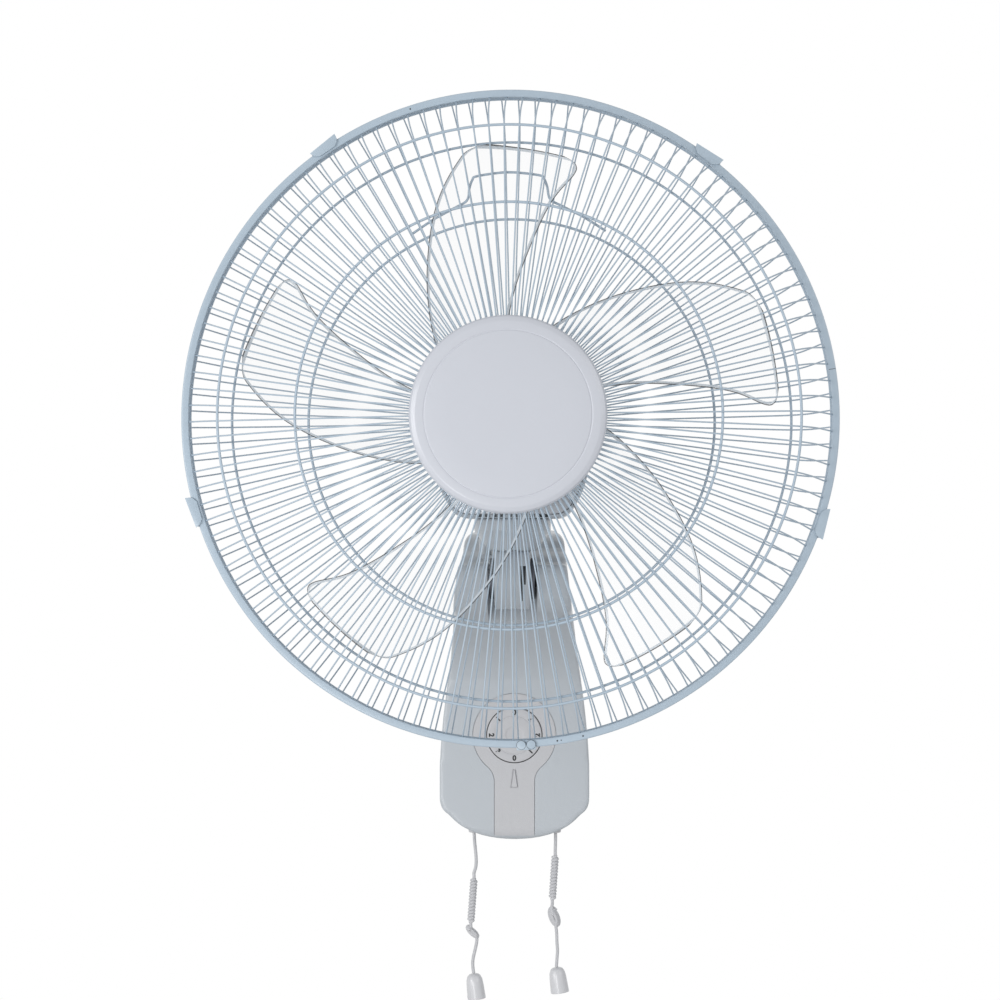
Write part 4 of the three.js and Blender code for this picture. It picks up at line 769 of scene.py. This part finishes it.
half_arch = [(27, 147), (20, 150), (14, 153), (10.6, 156), (9.4, 164), (8.4, 169), (7.2, 171)]
arch = [(-turn, radius) for turn, radius in half_arch] + [(0, 172)] + half_arch[::-1]
handle_line = rounded_line([on_rear_guard(radius, 90.7 + turn, 2.2) for turn, radius in arch], 1.5)
piece("handle_wire", tube("handle wire", handle_line, BAND_R, 10), WIRE_COAT, "head", ["guard_handle"], 60)

# %% [markdown]
# ## The rim
#
# A thin steel channel holds both guards' thick edge wires together. Its face is the pale ring
# that frames the picture. It is turned from a channel profile with small rounded bends; the
# seam where the strip's ends meet is a hairline cut with a small pressed dimple on each side.

# %% Rim channel
lip = RIM_R - RIM_LIP
channel = [
    (RIM_R, -RIM_HALF), (RIM_R, RIM_HALF), (lip, RIM_HALF), (lip, RIM_HALF - RIM_WALL),
    (RIM_R - RIM_WALL, RIM_HALF - RIM_WALL), (RIM_R - RIM_WALL, -RIM_HALF + RIM_WALL),
    (lip, -RIM_HALF + RIM_WALL), (lip, -RIM_HALF),
]
channel_mesh = turned("rim channel", rounded(channel, 1.0, 3, closed=True), 360, at=(0, AXIS_Y, AXIS_Z))

# %% [markdown]
# Small pressed pieces keep the solid's shape, but a pressing never has a knife edge. The helper
# copies a solid's mesh, merges its loose triangles, and rounds every real edge by a few tenths
# of a millimetre, which is what catches the light on a real clip.

# %% Rounding small pieces
def eased(node, width=0.3, segments=2):
    """A copy of a solid's mesh whose edges are rounded by width millimetres."""
    work = bmesh.new()
    work.from_mesh(NODES[node].data)
    bmesh.ops.remove_doubles(work, verts=work.verts, dist=1e-6)
    flat = math.radians(2)
    bmesh.ops.dissolve_limit(work, angle_limit=flat, verts=work.verts, edges=work.edges)
    sharp = [e for e in work.edges if len(e.link_faces) == 2 and e.calc_face_angle(0) > math.radians(35)]
    bmesh.ops.bevel(
        work, geom=sharp, offset=width * MM, segments=segments, profile=0.5, affect="EDGES", clamp_overlap=True,
    )
    mesh = bpy.data.meshes.new(node)
    work.to_mesh(mesh)
    work.free()
    return mesh


def block(low, high, soft=0.4, turn=0.0, at=(0, 0, 0)):
    """A box between two corners with rounded edges, turned about the fan's axis."""
    work = bmesh.new()
    bmesh.ops.create_cube(work, size=1)
    size = [h - l for l, h in zip(low, high)]
    bmesh.ops.scale(work, vec=size, verts=work.verts)
    bmesh.ops.translate(work, vec=[(h + l) / 2 for l, h in zip(low, high)], verts=work.verts)
    if soft:
        bmesh.ops.bevel(
            work, geom=work.edges[:], offset=soft, segments=2, profile=0.5, affect="EDGES", clamp_overlap=True,
        )
    bmesh.ops.rotate(work, matrix=Matrix.Rotation(-math.radians(turn), 3, "Y"), verts=work.verts)
    bmesh.ops.translate(work, vec=at, verts=work.verts)
    return mesh_of("block", work)


FAN_CENTRE = (0, AXIS_Y, AXIS_Z)
lugs = [
    block((216.5, 7.5, low), (220.4, 11.6, low + 2), 0.3, angle, FAN_CENTRE)
    for angle in CLIP_ANGLES for low in (-13.0, 11.0)
]
piece("rim_channel", joined("rim channel", channel_mesh, *lugs), RIM_COAT, "head", ["rim_band"], 40)

# %% Seam and dimples of the rim
RIM_FACE_Y = -RIM_HALF - 0.02
SEAM_ANGLE = 8.6
# Painted shade: the seam and the dimples are thin dark skins on the rim's face, standing for the shade in the
# hairline cut and in the pressed hollows.
marks = []
for angle, wide in ((SEAM_ANGLE, 0.35), (-81.6, 0.7), (-80.9, 0.5), (-77.0, 0.7), (107.8, 0.7)):
    turn = math.radians(angle)
    if angle == SEAM_ANGLE:
        low, high = (lip + 0.1, RIM_FACE_Y, -wide / 2), (RIM_R - 0.4, RIM_FACE_Y + 0.3, wide / 2)
        marks.append(block(low, high, 0, angle, FAN_CENTRE))
    else:
        deep = RIM_FACE_Y + 0.3
        dot = turned("dimple", [(0, RIM_FACE_Y), (wide * 0.8, RIM_FACE_Y), (wide, deep), (0, deep)], 20)
        middle = RIM_R - RIM_LIP / 2
        place = (middle * math.cos(turn), AXIS_Y, AXIS_Z + middle * math.sin(turn))
        dot.transform(Matrix.Translation([c * MM for c in place]))
        marks.append(dot)
piece("rim_shade_marks", joined("rim shade marks", *marks), DARK_PLASTIC, "head")

# %% Clips and lock
for i in range(1, 5):
    node = f"rim_clip_{i}"
    piece(f"clip_{i}", eased(node, 0.3), RIM_COAT, f"clip_{i}", [node], 40)
piece("lock_clip", eased("rim_lock", 0.22), RIM_COAT, "head", ["rim_lock"], 40)
LOCK_ANGLE = 272.9
LOBE_FACE_Y = -RIM_HALF - 1.56
lock_turn = Matrix.Rotation(math.radians(-LOCK_ANGLE), 4, "Y")
LOBE_BACK_Y = LOBE_FACE_Y + 0.1
# Painted shade: a thin dark ring round each of the lock clip's two lobes, standing for the shade along the clip's
# edges.
lock_shade_profile = [(2.95, LOBE_FACE_Y), (3.15, LOBE_FACE_Y), (3.15, LOBE_BACK_Y), (2.95, LOBE_BACK_Y)]
lock_shade_lines = []
for side in (-1, 1):
    ring = turned("lock line", lock_shade_profile, 40)
    ring.transform(Matrix.Translation(((RIM_R - 1.9) * MM, 0, side * 3.3 * MM)))
    ring.transform(lock_turn)
    ring.transform(Matrix.Translation((0, AXIS_Y * MM, AXIS_Z * MM)))
    lock_shade_lines.append(ring)
piece("lock_shade_lines", joined("lock lines", *lock_shade_lines), DARK_PLASTIC, "head")

# %% [markdown]
# ## The hub cap
#
# The cap is a shallow moulded dish, slightly domed, with one fine circular step near its edge.
# It is plain. A turned profile with small arcs gives the step its thin shadow line.

# %% Hub cap
cap_profile = [
    (0, -69.0), (20, -68.95), (40, -68.6), (54.0, -68.15), (54.25, -67.75), (54.9, -67.75),
    (55.2, -68.0), (60.4, -67.4),
    (63.4, -66.0), (64.6, -63.5), (62.6, -63.5), (61.6, -64.6), (56, -65.9), (0, -66.6),
]
cap = turned("cap", rounded(cap_profile, 0.5, 3), 200, at=FAN_CENTRE)
piece("cap", cap, CAP_PLASTIC, "head", ["hub_cap"], 40)

# %% [markdown]
# ## The blades
#
# Five clear blades and their hub are one moulding. A blade is thin, twisted and dished, thicker
# in the middle than at its rounded edges. Its outline is a table of stations from root to tip;
# the sheet between them is smooth, because each column is a curve through all stations.

# %% Blade sheet
STATIONS = [  # radius, left edge and right edge in degrees, their depths
    (38.5, 23.2, 76.3, 6.8, -32.1), (60, 18, 65, 14, -33), (86, 14, 53.5, 20, -32), (116, 9.5, 43.5, 24, -30),
    (151, 5, 34, 25, -26), (172, 1.2, 27.5, 25, -22), (179.5, 1.4, 24.6, 22.8, -20),
    (182.6, 4.2, 20.4, 19.5, -17.5),
]
ROWS, COLUMNS = 52, 26
FIRST_BLADE = 2.3


def station(place):
    """The blade's row at a place from 0 to 1 along it, by a curve through the stations."""
    spot = place * (len(STATIONS) - 1)
    i = min(int(spot), len(STATIONS) - 2)
    t = spot - i
    p = [STATIONS[max(0, min(len(STATIONS) - 1, i + k))] for k in (-1, 0, 1, 2)]
    return [
        0.5 * (2 * b + (c - a) * t + (2 * a - 5 * b + 4 * c - d) * t * t + (3 * b - a - 3 * c + d) * t ** 3)
        for a, b, c, d in zip(*p)
    ]


def blade_mesh(start):
    """One blade; its UV map holds how near each point is to the border."""
    work = bmesh.new()
    near = {}
    sides = []
    for face in (-1, 1):
        sheet = []
        for r in range(ROWS + 1):
            radius, left, right, left_y, right_y = station(r / ROWS)
            tip = max(0.0, (r / ROWS - 0.9) / 0.1)
            row = []
            for c in range(COLUMNS + 1):
                share = 0.5 - 0.5 * math.cos(math.pi * c / COLUMNS)
                edge = abs(2 * share - 1)
                thick = 1.1 * (1 - 0.62 * edge ** 6) * (1 - 0.45 * tip ** 3)
                depth = left_y + (right_y - left_y) * share + 20 * share * (1 - share) + face * thick
                turn = math.radians(start + left + (right - left) * share)
                row.append(work.verts.new((radius * math.cos(turn), depth, radius * math.sin(turn))))
                chord = radius * math.radians(right - left)
                near[row[-1]] = 1 - min(share * chord, (1 - share) * chord, STATIONS[-1][0] - radius, 2) / 2
            sheet.append(row)
        sides.append(sheet)
    for sheet in sides:
        for low, high in zip(sheet, sheet[1:]):
            for c in range(COLUMNS):
                work.faces.new((low[c], low[c + 1], high[c + 1], high[c]))
    front, back = sides
    border = [(0, c) for c in range(COLUMNS)] + [(r, COLUMNS) for r in range(ROWS)]
    border += [(ROWS, c) for c in range(COLUMNS, 0, -1)] + [(r, 0) for r in range(ROWS, 0, -1)]
    for (r0, c0), (r1, c1) in zip(border, border[1:] + border[:1]):
        work.faces.new((front[r0][c0], front[r1][c1], back[r1][c1], back[r0][c0]))
    bmesh.ops.translate(work, vec=FAN_CENTRE, verts=work.verts)
    sheet = work.loops.layers.uv.new("UVMap")
    for face in work.faces:
        for loop in face.loops:
            loop[sheet].uv = (near[loop.vert], 0.5)
    return mesh_of("blade", work)


# %% Hub, blades and their nut
hub_profile = [
    (4.3, -38), (33, -38), (38, -33), (38, 12), (35, 12), (35, -29), (10, -29), (10, 22), (4.3, 22),
]
hub = turned("blade hub", rounded(hub_profile, 1.2, 3, closed=True), 96, at=FAN_CENTRE)
blades = [blade_mesh(FIRST_BLADE + 72 * i) for i in range(5)]
piece("clear_blades", joined("blades", hub, *blades), CLEAR_PLASTIC, "rotor", ["fan_blades"], 60)
nut_profile = [(4.3, -38.3), (13, -38.3), (13, -42.3), (9, -48.3), (0, -49.3), (0, -44.3), (4.3, -44.3)]
blade_nut = turned("blade nut", rounded(nut_profile, 0.8, 3), 64, at=FAN_CENTRE)
piece("blade_knob", blade_nut, DARK_PLASTIC, "rotor", ["blade_nut"])
shaft_profile = [(0, -44), (3.6, -44), (4, -43.4), (4, 137.6), (3.6, 138), (0, 138)]
piece("shaft", turned("shaft", shaft_profile, 48, at=FAN_CENTRE), TURNED_STEEL, "rotor", ["motor_shaft"])

# %% [markdown]
# ## Moulded shells
#
# The case and the motor cover are moulded: their outlines meet in soft edges, never in sharp
# ones. Each shell starts as two flat outlines, one seen from the front and one from the side,
# pulled straight through each other. What they share is the body. Turning that body into small
# voxels and smoothing it melts its edges, as a mould maker's ball cutter does, and the flat
# walls stay flat. Holes and seats are cut afterwards, so they stay crisp.

# %% Outlines and solids
def bend(start, middle, end, steps=14):
    """Points along a quadratic curve, without its first."""
    return [
        tuple(a * (1 - t) ** 2 + 2 * b * t * (1 - t) + c * t * t for a, b, c in zip(start, middle, end))
        for t in (k / steps for k in range(1, steps + 1))
    ]


def slab(outline, axis, low, high):
    """An outline pulled straight along an axis: y for a front outline of (x, z), x for a side one of (y, z)."""
    work = bmesh.new()
    place = (lambda p, d: (p[0], d, p[1])) if axis == "y" else (lambda p, d: (d, p[0], p[1]))
    near = [work.verts.new(place(p, low)) for p in outline]
    far = [work.verts.new(place(p, high)) for p in outline]
    work.faces.new(near)
    work.faces.new(far)
    for i in range(len(near)):
        k = (i + 1) % len(near)
        work.faces.new((near[i], near[k], far[k], far[i]))
    return mesh_of("slab", work)


def combined(base, tools, operation="DIFFERENCE"):
    """base with other closed meshes cut from it, or shared with it."""
    carrier = bpy.data.objects.new("carrier", base)
    bpy.context.collection.objects.link(carrier)
    helpers = []
    for tool in tools:
        helper = bpy.data.objects.new("tool", tool)
        bpy.context.collection.objects.link(helper)
        modifier = carrier.modifiers.new("cut", "BOOLEAN")
        modifier.operation, modifier.object, modifier.solver = operation, helper, "EXACT"
        helpers.append(helper)
    return plain(carrier, helpers)


def plain(carrier, helpers=()):
    """The evaluated result as a mesh of its own; what made it is removed."""
    bpy.context.view_layer.update()
    seen = carrier.evaluated_get(bpy.context.evaluated_depsgraph_get())
    mesh = bpy.data.meshes.new_from_object(seen)
    for helper in [carrier, *helpers]:
        bpy.data.objects.remove(helper)
    return mesh


def melted(base, voxel, rounds, keep):
    """A body whose edges are melted round: voxels, smoothing, then fewer faces where it is flat."""
    carrier = bpy.data.objects.new("melted", base)
    bpy.context.collection.objects.link(carrier)
    remesh = carrier.modifiers.new("voxels", "REMESH")
    remesh.mode, remesh.voxel_size = "VOXEL", voxel * MM
    smooth = carrier.modifiers.new("smooth", "SMOOTH")
    smooth.factor, smooth.iterations = 0.5, rounds
    fewer = carrier.modifiers.new("fewer", "DECIMATE")
    fewer.ratio = keep
    return plain(carrier)


def rod(radius, low, high, x, z, sides=48):
    """A straight rod along y, to cut a round hole with."""
    return turned("rod", [(0, low), (radius, low), (radius, high), (0, high)], sides, at=(x, 0, z))

# %% [markdown]
# ## The case on the wall
#
# The case hangs on the wall plate and reaches forward with one arm to carry the head. Its front
# outline is widest at the dial and narrows upwards; its side outline rises flat to the dial's
# height and then sweeps forward into the arm. The two halves meet in a fine seam.

# %% Case outlines
def mirrored(right):
    return right + [(-x, z) for x, z in reversed(right) if abs(x) > 1e-6]


def case_front(inset):
    low, high, wide, narrow = CASE_LOW_Z + inset, CASE_TOP_Z - inset, 54.75 - inset, 37 - inset
    right = [(0.0, low)]
    right += bend((0, low), (34 - inset, low + 1), (wide - 6, low + 19))
    right += bend(right[-1], (wide, low + 22), (wide, low + 30), 8)
    right += [(wide, -57.0)]
    right += bend((wide, -57), (wide - 1, -25), (wide - 7.75, 18))
    right += [(narrow, high - 14)]
    right += bend((narrow, high - 14), (narrow, high - 2), (narrow - 12, high), 10)
    return mirrored(right)


def case_side(inset):
    back, front, low, nose = -2.1 - inset, CASE_FRONT_Y + inset, CASE_LOW_Z + inset, -162 + inset
    line = [(back, low), (back, CASE_TOP_Z - inset), (-66 + inset, CASE_TOP_Z - 3 - inset)]
    line += bend(line[-1], (-84 + inset, CASE_TOP_Z - 4 - inset), (-89 + inset, 102 - inset), 10)
    line += bend(line[-1], (-104, 100 - inset), (-112, 92 - inset), 10)
    line += [(nose + 9, 92 - inset)]
    line += bend(line[-1], (nose, 92 - inset), (nose, 82), 10)
    line += [(nose, 72)]
    line += bend(line[-1], (nose, 60 + inset), (nose + 14, 57 + inset), 10)
    line += bend(line[-1], (-92 + inset, 48 + inset), (front, 6), 20)
    line += [(front, low + 9)]
    line += bend(line[-1], (front, low), (front + 8, low), 10)
    return line


def case_body(inset):
    return combined(slab(case_front(inset), "y", -200, 0), [slab(case_side(inset), "x", -70, 70)], "INTERSECT")


SKIN = melted(case_body(0), 1.3, 16, 0.3)
print("case skin", len(SKIN.polygons), "faces")


def plain_box(low, high):
    return block(low, high, 0)


SLOT_BACK = TILT_Y + 22 + 3 + 0.9
HOLLOW = combined(case_body(2.5), [plain_box((-20, -200, 27.5), (20, SLOT_BACK + 2.5, 130))])


# %% [markdown]
# The dial sits in a keyhole-shaped trim piece: a disc with a straight tail that runs down over
# the case's lower edge. The same outline, a little larger, cuts its seat, and what is left
# between them is the thin groove that the photograph shows round it.

# %% Keyhole outline
def keyhole(inset):
    """A disc that runs over into a straight tail through a hollow curve, made smaller by inset."""
    radius, half, hollow = 30.6 - inset, 14.9 - inset, 14.0 + inset
    reach = math.acos((half + hollow) / (radius + hollow))
    middle_x, middle_z = half + hollow, DIAL_Z - (radius + hollow) * math.sin(reach)
    turns = [math.pi - reach * k / 14 for k in range(15)]
    curve = [(middle_x + hollow * math.cos(a), middle_z + hollow * math.sin(a)) for a in turns]
    arc = [-reach + (math.pi + 2 * reach) * k / 80 for k in range(1, 80)]
    disc = [(radius * math.cos(a), DIAL_Z + radius * math.sin(a)) for a in arc]
    low = CASE_LOW_Z - 5
    return [(half, low)] + curve + disc + [(-x, z) for x, z in reversed(curve)] + [(-half, low)]


# %% Case halves
SCREWS = [(-42, -78), (42, -78), (-36, 31), (36, 31)]
hole_profile = [(0, -125), (4.3, -125), (4.3, -95), (0, -95)]
bush_holes = [turned("hole", hole_profile, 40, "z", (side * CORD_X, CORD_Y, 0)) for side in (-1, 1)]
bolt_hole = turned("hole", [(0, -25), (8.3, -25), (8.3, 25), (0, 25)], 48, "x", (0, TILT_Y, TILT_Z))
front_half = combined(SKIN.copy(), [
    plain_box((-90, CASE_SPLIT_Y, -160), (90, 20, 160)), HOLLOW.copy(),
    plain_box((-17.5, -200, 30), (17.5, SLOT_BACK, 130)),
    slab(keyhole(0), "y", -90, -76.4), rod(20.6, -90, -60, 0, DIAL_Z, 96), bolt_hole, *bush_holes,
])
piece("case_front", front_half, CASE_PLASTIC, "wall_base", ["front_case"], 38)
hooks = [plain_box((side * 24 - 9.5, -9.5, 19.5), (side * 24 + 9.5, 1, 23)) for side in (-1, 1)]
gland_hole = turned("hole", [(0, -125), (6.8, -125), (6.8, -95), (0, -95)], 40, "z", (0, -15, 0))
rear_half = combined(SKIN.copy(), [
    plain_box((-90, -220, -160), (90, CASE_SPLIT_Y + 0.3, 160)), HOLLOW, gland_hole, *hooks,
    *[rod(3.7, -12, 5, x, z) for x, z in SCREWS],
])
piece("case_rear", rear_half, CASE_PLASTIC, "wall_base", ["rear_case"], 38)

# %% Trim and pointer
trim = combined(slab(keyhole(0.35), "y", -78.0, -76.5), [SKIN], "INTERSECT")


def pointer_outline(grow):
    tip, foot = -58.8, -71.8
    return [
        (-2.5 - grow, foot - grow), (2.5 + grow, foot - grow), (0.7 + grow, tip + grow), (-0.7 - grow, tip + grow),
    ]


def pointer_mesh():
    """A raised wedge, narrower at its face than at its foot."""
    work = bmesh.new()
    near = [work.verts.new((x, -78.9, z)) for x, z in pointer_outline(-0.5)]
    far = [work.verts.new((x, -77.4, z)) for x, z in pointer_outline(0)]
    work.faces.new(near)
    work.faces.new(far)
    for i in range(4):
        k = (i + 1) % 4
        work.faces.new((near[i], near[k], far[k], far[i]))
    return mesh_of("pointer", work)


trim = combined(trim, [rod(20.6, -90, -60, 0, DIAL_Z, 96), slab(pointer_outline(0.45), "y", -80, -77.5)])
piece("dial_trim", joined("dial trim", trim, pointer_mesh()), TRIM_PLASTIC, "wall_base", ["dial_surround"], 30)

# %% [markdown]
# ## The dial
#
# The number above the pointer shows the speed; on such a fan each pull of the right cord turns
# the dial by an eighth. It is a flat disc with a shallow dish in the middle and a fine groove,
# and eight plain numbers stand in print-thin relief round it.

# %% Dial
dial_profile = [
    (0, -78.2), (6.0, -78.2), (6.6, -78.6), (13.6, -78.6), (13.8, -78.35), (14.2, -78.35),
    (14.4, -78.6), (19.4, -78.6),
    (20.0, -78.0), (20.0, -76.0), (3, -76.0), (3, -58), (0, -58),
]
dial = turned("dial", rounded(dial_profile, 0.25, 2), 160, at=(0, 0, DIAL_Z))
piece("dial", dial, TRIM_PLASTIC, "dial", ["speed_dial"], 30)


NUMERAL_Y = -78.62  # just proud of the dial's face


def numeral(text, turn, radius, tall):
    """One printed number on the dial, its top towards the dial's middle, as if read from below."""
    curve = bpy.data.curves.new("numeral", "FONT")
    curve.body, curve.size, curve.extrude, curve.offset = text, tall * MM, 0.06 * MM, 0.26 * MM
    curve.align_x, curve.align_y = "CENTER", "CENTER"
    carrier = bpy.data.objects.new("numeral", curve)
    bpy.context.collection.objects.link(carrier)
    mesh = plain(carrier)
    angle = math.radians(turn)
    mesh.transform(Matrix.Rotation(math.pi / 2, 4, "X"))
    mesh.transform(Matrix.Rotation(-math.pi / 2 - angle, 4, "Y"))
    place = (radius * math.cos(angle), NUMERAL_Y, DIAL_Z + radius * math.sin(angle))
    mesh.transform(Matrix.Translation([c * MM for c in place]))
    return mesh


marks = [numeral(text, 270 + 45 * i, 16.9, 5.2) for i, text in enumerate("01230123")]
piece("dial_numbers", joined("dial numbers", *marks), NUMERAL_INK, "dial", degrees=30)

# %% [markdown]
# ## The moving joint
#
# A steel fork in the arm holds the knuckle between its ears; the bolt through them is the tilt
# axis. On the knuckle stands the post that the head swings on. These are thick moulded and
# pressed pieces, so their edges get small roundings and their round parts are turned finely.

# %% Fork, bolt, knuckle, neck
# The fork and bolt take the darker zinc, which is painted shade for their place in the arm's slot.
piece("fork", eased("tilt_fork", 0.4), SHADED_ZINC, "wall_base", ["tilt_fork"], 40)
piece("bolt", eased("tilt_bolt", 0.4), SHADED_ZINC, "wall_base", ["tilt_bolt"], 40)
POST_FOOT = (0, TILT_Y, 0)
KNUCKLE_AXIS = (0, TILT_Y, TILT_Z)
barrel_profile = rounded([(4.4, -12.5), (22, -12.5), (22, 12.5), (4.4, 12.5)], 1.6, 4, closed=True)
barrel = turned("barrel", barrel_profile, 120, "x", KNUCKLE_AXIS)
post_bore = turned("bore", [(0, 89.3), (6.3, 89.3), (6.3, 120), (0, 120)], 48, "z", POST_FOOT)
barrel = combined(barrel, [plain_box((-40, -200, 100.7), (40, -100, 140)), post_bore])
seat_profile = rounded([(6.3, 90), (12.5, 90), (12.5, 101), (6.3, 101)], 0.8, 3, closed=True)
seat = turned("seat", seat_profile, 80, "z", POST_FOOT)
arm = block((-11.5, -145, 94.5), (6, -119, 98), 0.6)
ear = block((-25, -129, 94.5), (6, -119, 98), 0.6)
stud_profile = rounded([(0, 97), (4.6, 97), (4.6, 109.7), (3, 109.7), (3, 114.7), (0, 114.7)], 0.3, 2)
stud = turned("stud", stud_profile, 48, "z", (-20, -124, 0))
# The photograph is dark at two spots right of the barrel's middle. Thin dark skins, cut out of a
# ring, are painted shade for slots there; what they really are is a guess, and nothing is cut.
slot_cuts = [plain_box((5.9, -180, 77.6), (9.6, -150, 90.6)), plain_box((5.9, -180, 66), (7.4, -150, 78))]
slot_ring = [(21.4, 5.8), (22.06, 5.8), (22.06, 9.7), (21.4, 9.7)]
slot_shade_skins = [
    combined(turned("slot ring", slot_ring, 120, "x", KNUCKLE_AXIS), [cut], "INTERSECT") for cut in slot_cuts
]
piece("knuckle_slot_shade", joined("knuckle slot shade", *slot_shade_skins), DARK_PLASTIC, "tilting_neck", (), 60)
knuckle = joined("knuckle", barrel, seat, arm, ear, stud)
piece("knuckle", knuckle, CASE_PLASTIC, "tilting_neck", ["tilt_knuckle"], 38)
post = turned("post", [(0, 89.3), (6, 89.3), (6, 125.4), (5.4, 126), (0, 126)], 64, "z", POST_FOOT)
piece("post", post, TURNED_STEEL, "tilting_neck", ["swivel_post"])
cone = rounded([(8.9, 101.3), (17, 101.3), (27, 114.7), (27, 123.7), (8.9, 123.7)], 1.5, 4, closed=True)
stem = block((-12, TILT_Y - 12, 121.7), (12, TILT_Y + 12, 141.9), 0.5)
stem = combined(stem, [turned("bore", [(0, 110), (9.2, 110), (9.2, 128), (0, 128)], 48, "z", POST_FOOT)])
neck = joined("neck", turned("neck cone", cone, 120, "z", POST_FOOT), stem)
piece("neck", neck, CASE_PLASTIC, "head", ["neck_block"], 38)

# %% [markdown]
# ## The motor housing
#
# The cover is a smooth drum with a flatter chin, closed by a domed back with air slots. It is
# melted from its outline and its dome in the same way as the case, hollowed, and slotted.

# %% Motor cover
def cover_front(inset):
    wide, top, low, chin = 56 - inset, 56 - inset, -66 + inset, 40 - inset / 2
    right = [(0.0, top)]
    for k in range(1, 25):
        t = k / 24
        weights = ((1 - t) ** 3, 3 * t * (1 - t) ** 2, 3 * t * t * (1 - t), t ** 3)
        spots = ((0, top), (wide * 0.6, top), (wide, top * 0.62), (wide, 0))
        right.append(tuple(sum(w * s[i] for w, s in zip(weights, spots)) for i in (0, 1)))
    right += bend((wide, 0), (wide, low * 0.62), (chin + 4, low + 9), 20)
    right += bend(right[-1], (chin, low), (chin - 9, low), 10)
    return [(x, z + AXIS_Z) for x, z in mirrored(right)]


def dome(inset):
    back = 160 - inset
    profile = [
        (0, 60), (90, 60), (86 - inset, back - 40), (78 - inset, back - 14),
        (64 - inset, back - 4), (40 - inset, back), (0, back),
    ]
    return turned("dome", rounded(profile, 9 if inset == 0 else 4, 6), 96, at=FAN_CENTRE)


def cover_body(inset):
    return combined(slab(cover_front(inset), "y", -182, -90 - inset), [dome(inset)], "INTERSECT")


drum = melted(cover_body(0), 1.3, 5, 0.3)
slots = [block((-20, -104, AXIS_Z - 24 + 8 * i), (20, -85, AXIS_Z - 21 + 8 * i), 1.2) for i in range(5)]
vents = []
for side in (-1, 1):
    for i in range(3):
        low_x, high_x = (-60, -30) if side < 0 else (30, 60)
        vents.append(block((low_x, -174 + 9 * i, AXIS_Z - 58), (high_x, -170 + 9 * i, AXIS_Z - 30), 1.0))
neck_gap = plain_box((-12.3, TILT_Y - 12.3, 118), (12.3, TILT_Y + 12.3, 150))
crank_hole = turned("hole", [(0, 118), (4, 118), (4, 134), (0, 134)], 32, "z", (14, -114, 0))
screw_hole = rod(2.3, -110, -80, 0, AXIS_Z + 30, 32)
hollow = combined(cover_body(2.5), [])
mouth = slab(cover_front(2.5), "y", -186, -178)
housing = combined(drum, [hollow, mouth, neck_gap, crank_hole, screw_hole, *slots, *vents])
piece("motor_housing", housing, CASE_PLASTIC, "head", ["motor_cover"], 38)
# The row of dark bars on the chin's lip is guessed to be slots: dark skins of painted shade, with nothing cut.
chin_slot_shade = [
    block((-23.6 + 5.2 * i, -182.1, AXIS_Z - 65.4), (-20.4 + 5.2 * i, -181.7, AXIS_Z - 63.6), 0)
    for i in range(10)
]
piece("chin_slot_shade", joined("chin slot shade", *chin_slot_shade), DARK_PLASTIC, "head")

# %% [markdown]
# ## Small and inner pieces
#
# Through the wires and slots one still sees the motor's shields, the laminated core, the copper
# and the link that swings the head. They keep their solids' forms with rounded edges, and each
# gets the finish of its real material.

# %% Inner pieces
def dress(finish, body, *names, soft=0.3):
    for name in names:
        piece(f"{name}_dressed", eased(name, soft), finish, body, [name], 40)


dress(ZINC, "head", "motor_front_shield", "motor_rear_shield", "oscillation_motor", "cover_screw")
dress(TURNED_STEEL, "head", "stator_core", "front_bearing", "rear_bearing")
dress(COPPER, "head", "front_winding", "rear_winding", soft=1.5)
dress(BRASS, "head", "swivel_bush")
dress(DARK_PLASTIC, "head", "guard_nut", soft=0.6)
dress(TURNED_STEEL, "rotor", "rotor_core")
dress(DARK_PLASTIC, "crank", "oscillation_crank")
dress(DARK_PLASTIC, "link", "oscillation_link")
dress(ZINC, "wall_base", "wall_bracket", "case_screw_1", "case_screw_2", "case_screw_3", "case_screw_4", soft=0.25)
dress(
    DARK_PLASTIC, "wall_base", "speed_switch", "oscillation_switch", "capacitor", "terminal_block",
    "cord_clamp", soft=0.5,
)
dress(DARK_PLASTIC, "speed_lever", "speed_lever")
dress(DARK_PLASTIC, "oscillation_lever", "oscillation_lever")

# %% Bushes and gland
for side, name in ((-1, "left_cord_bush"), (1, "right_cord_bush")):
    low, high = CORD_EXIT_Z - 1.2, CORD_EXIT_Z + 8
    sleeve = rounded([(2, low), (3.4, low), (4, low + 0.8), (4, high), (2, high)], 0.4, 3, closed=True)
    bush = turned(name, sleeve, 64, "z", (side * CORD_X, CORD_Y, 0))
    piece(f"{name}_dressed", bush, TRIM_PLASTIC, "wall_base", [name], 40)
low, high = CASE_LOW_Z - 1.6, CASE_LOW_Z + 9.6
gland = rounded([(3.8, low), (5.8, low), (6.5, low + 2), (6.5, high), (3.8, high)], 0.5, 3, closed=True)
piece("gland", turned("gland", gland, 64, "z", (0, -15, 0)), DARK_PLASTIC, "wall_base", ["cable_gland"], 40)
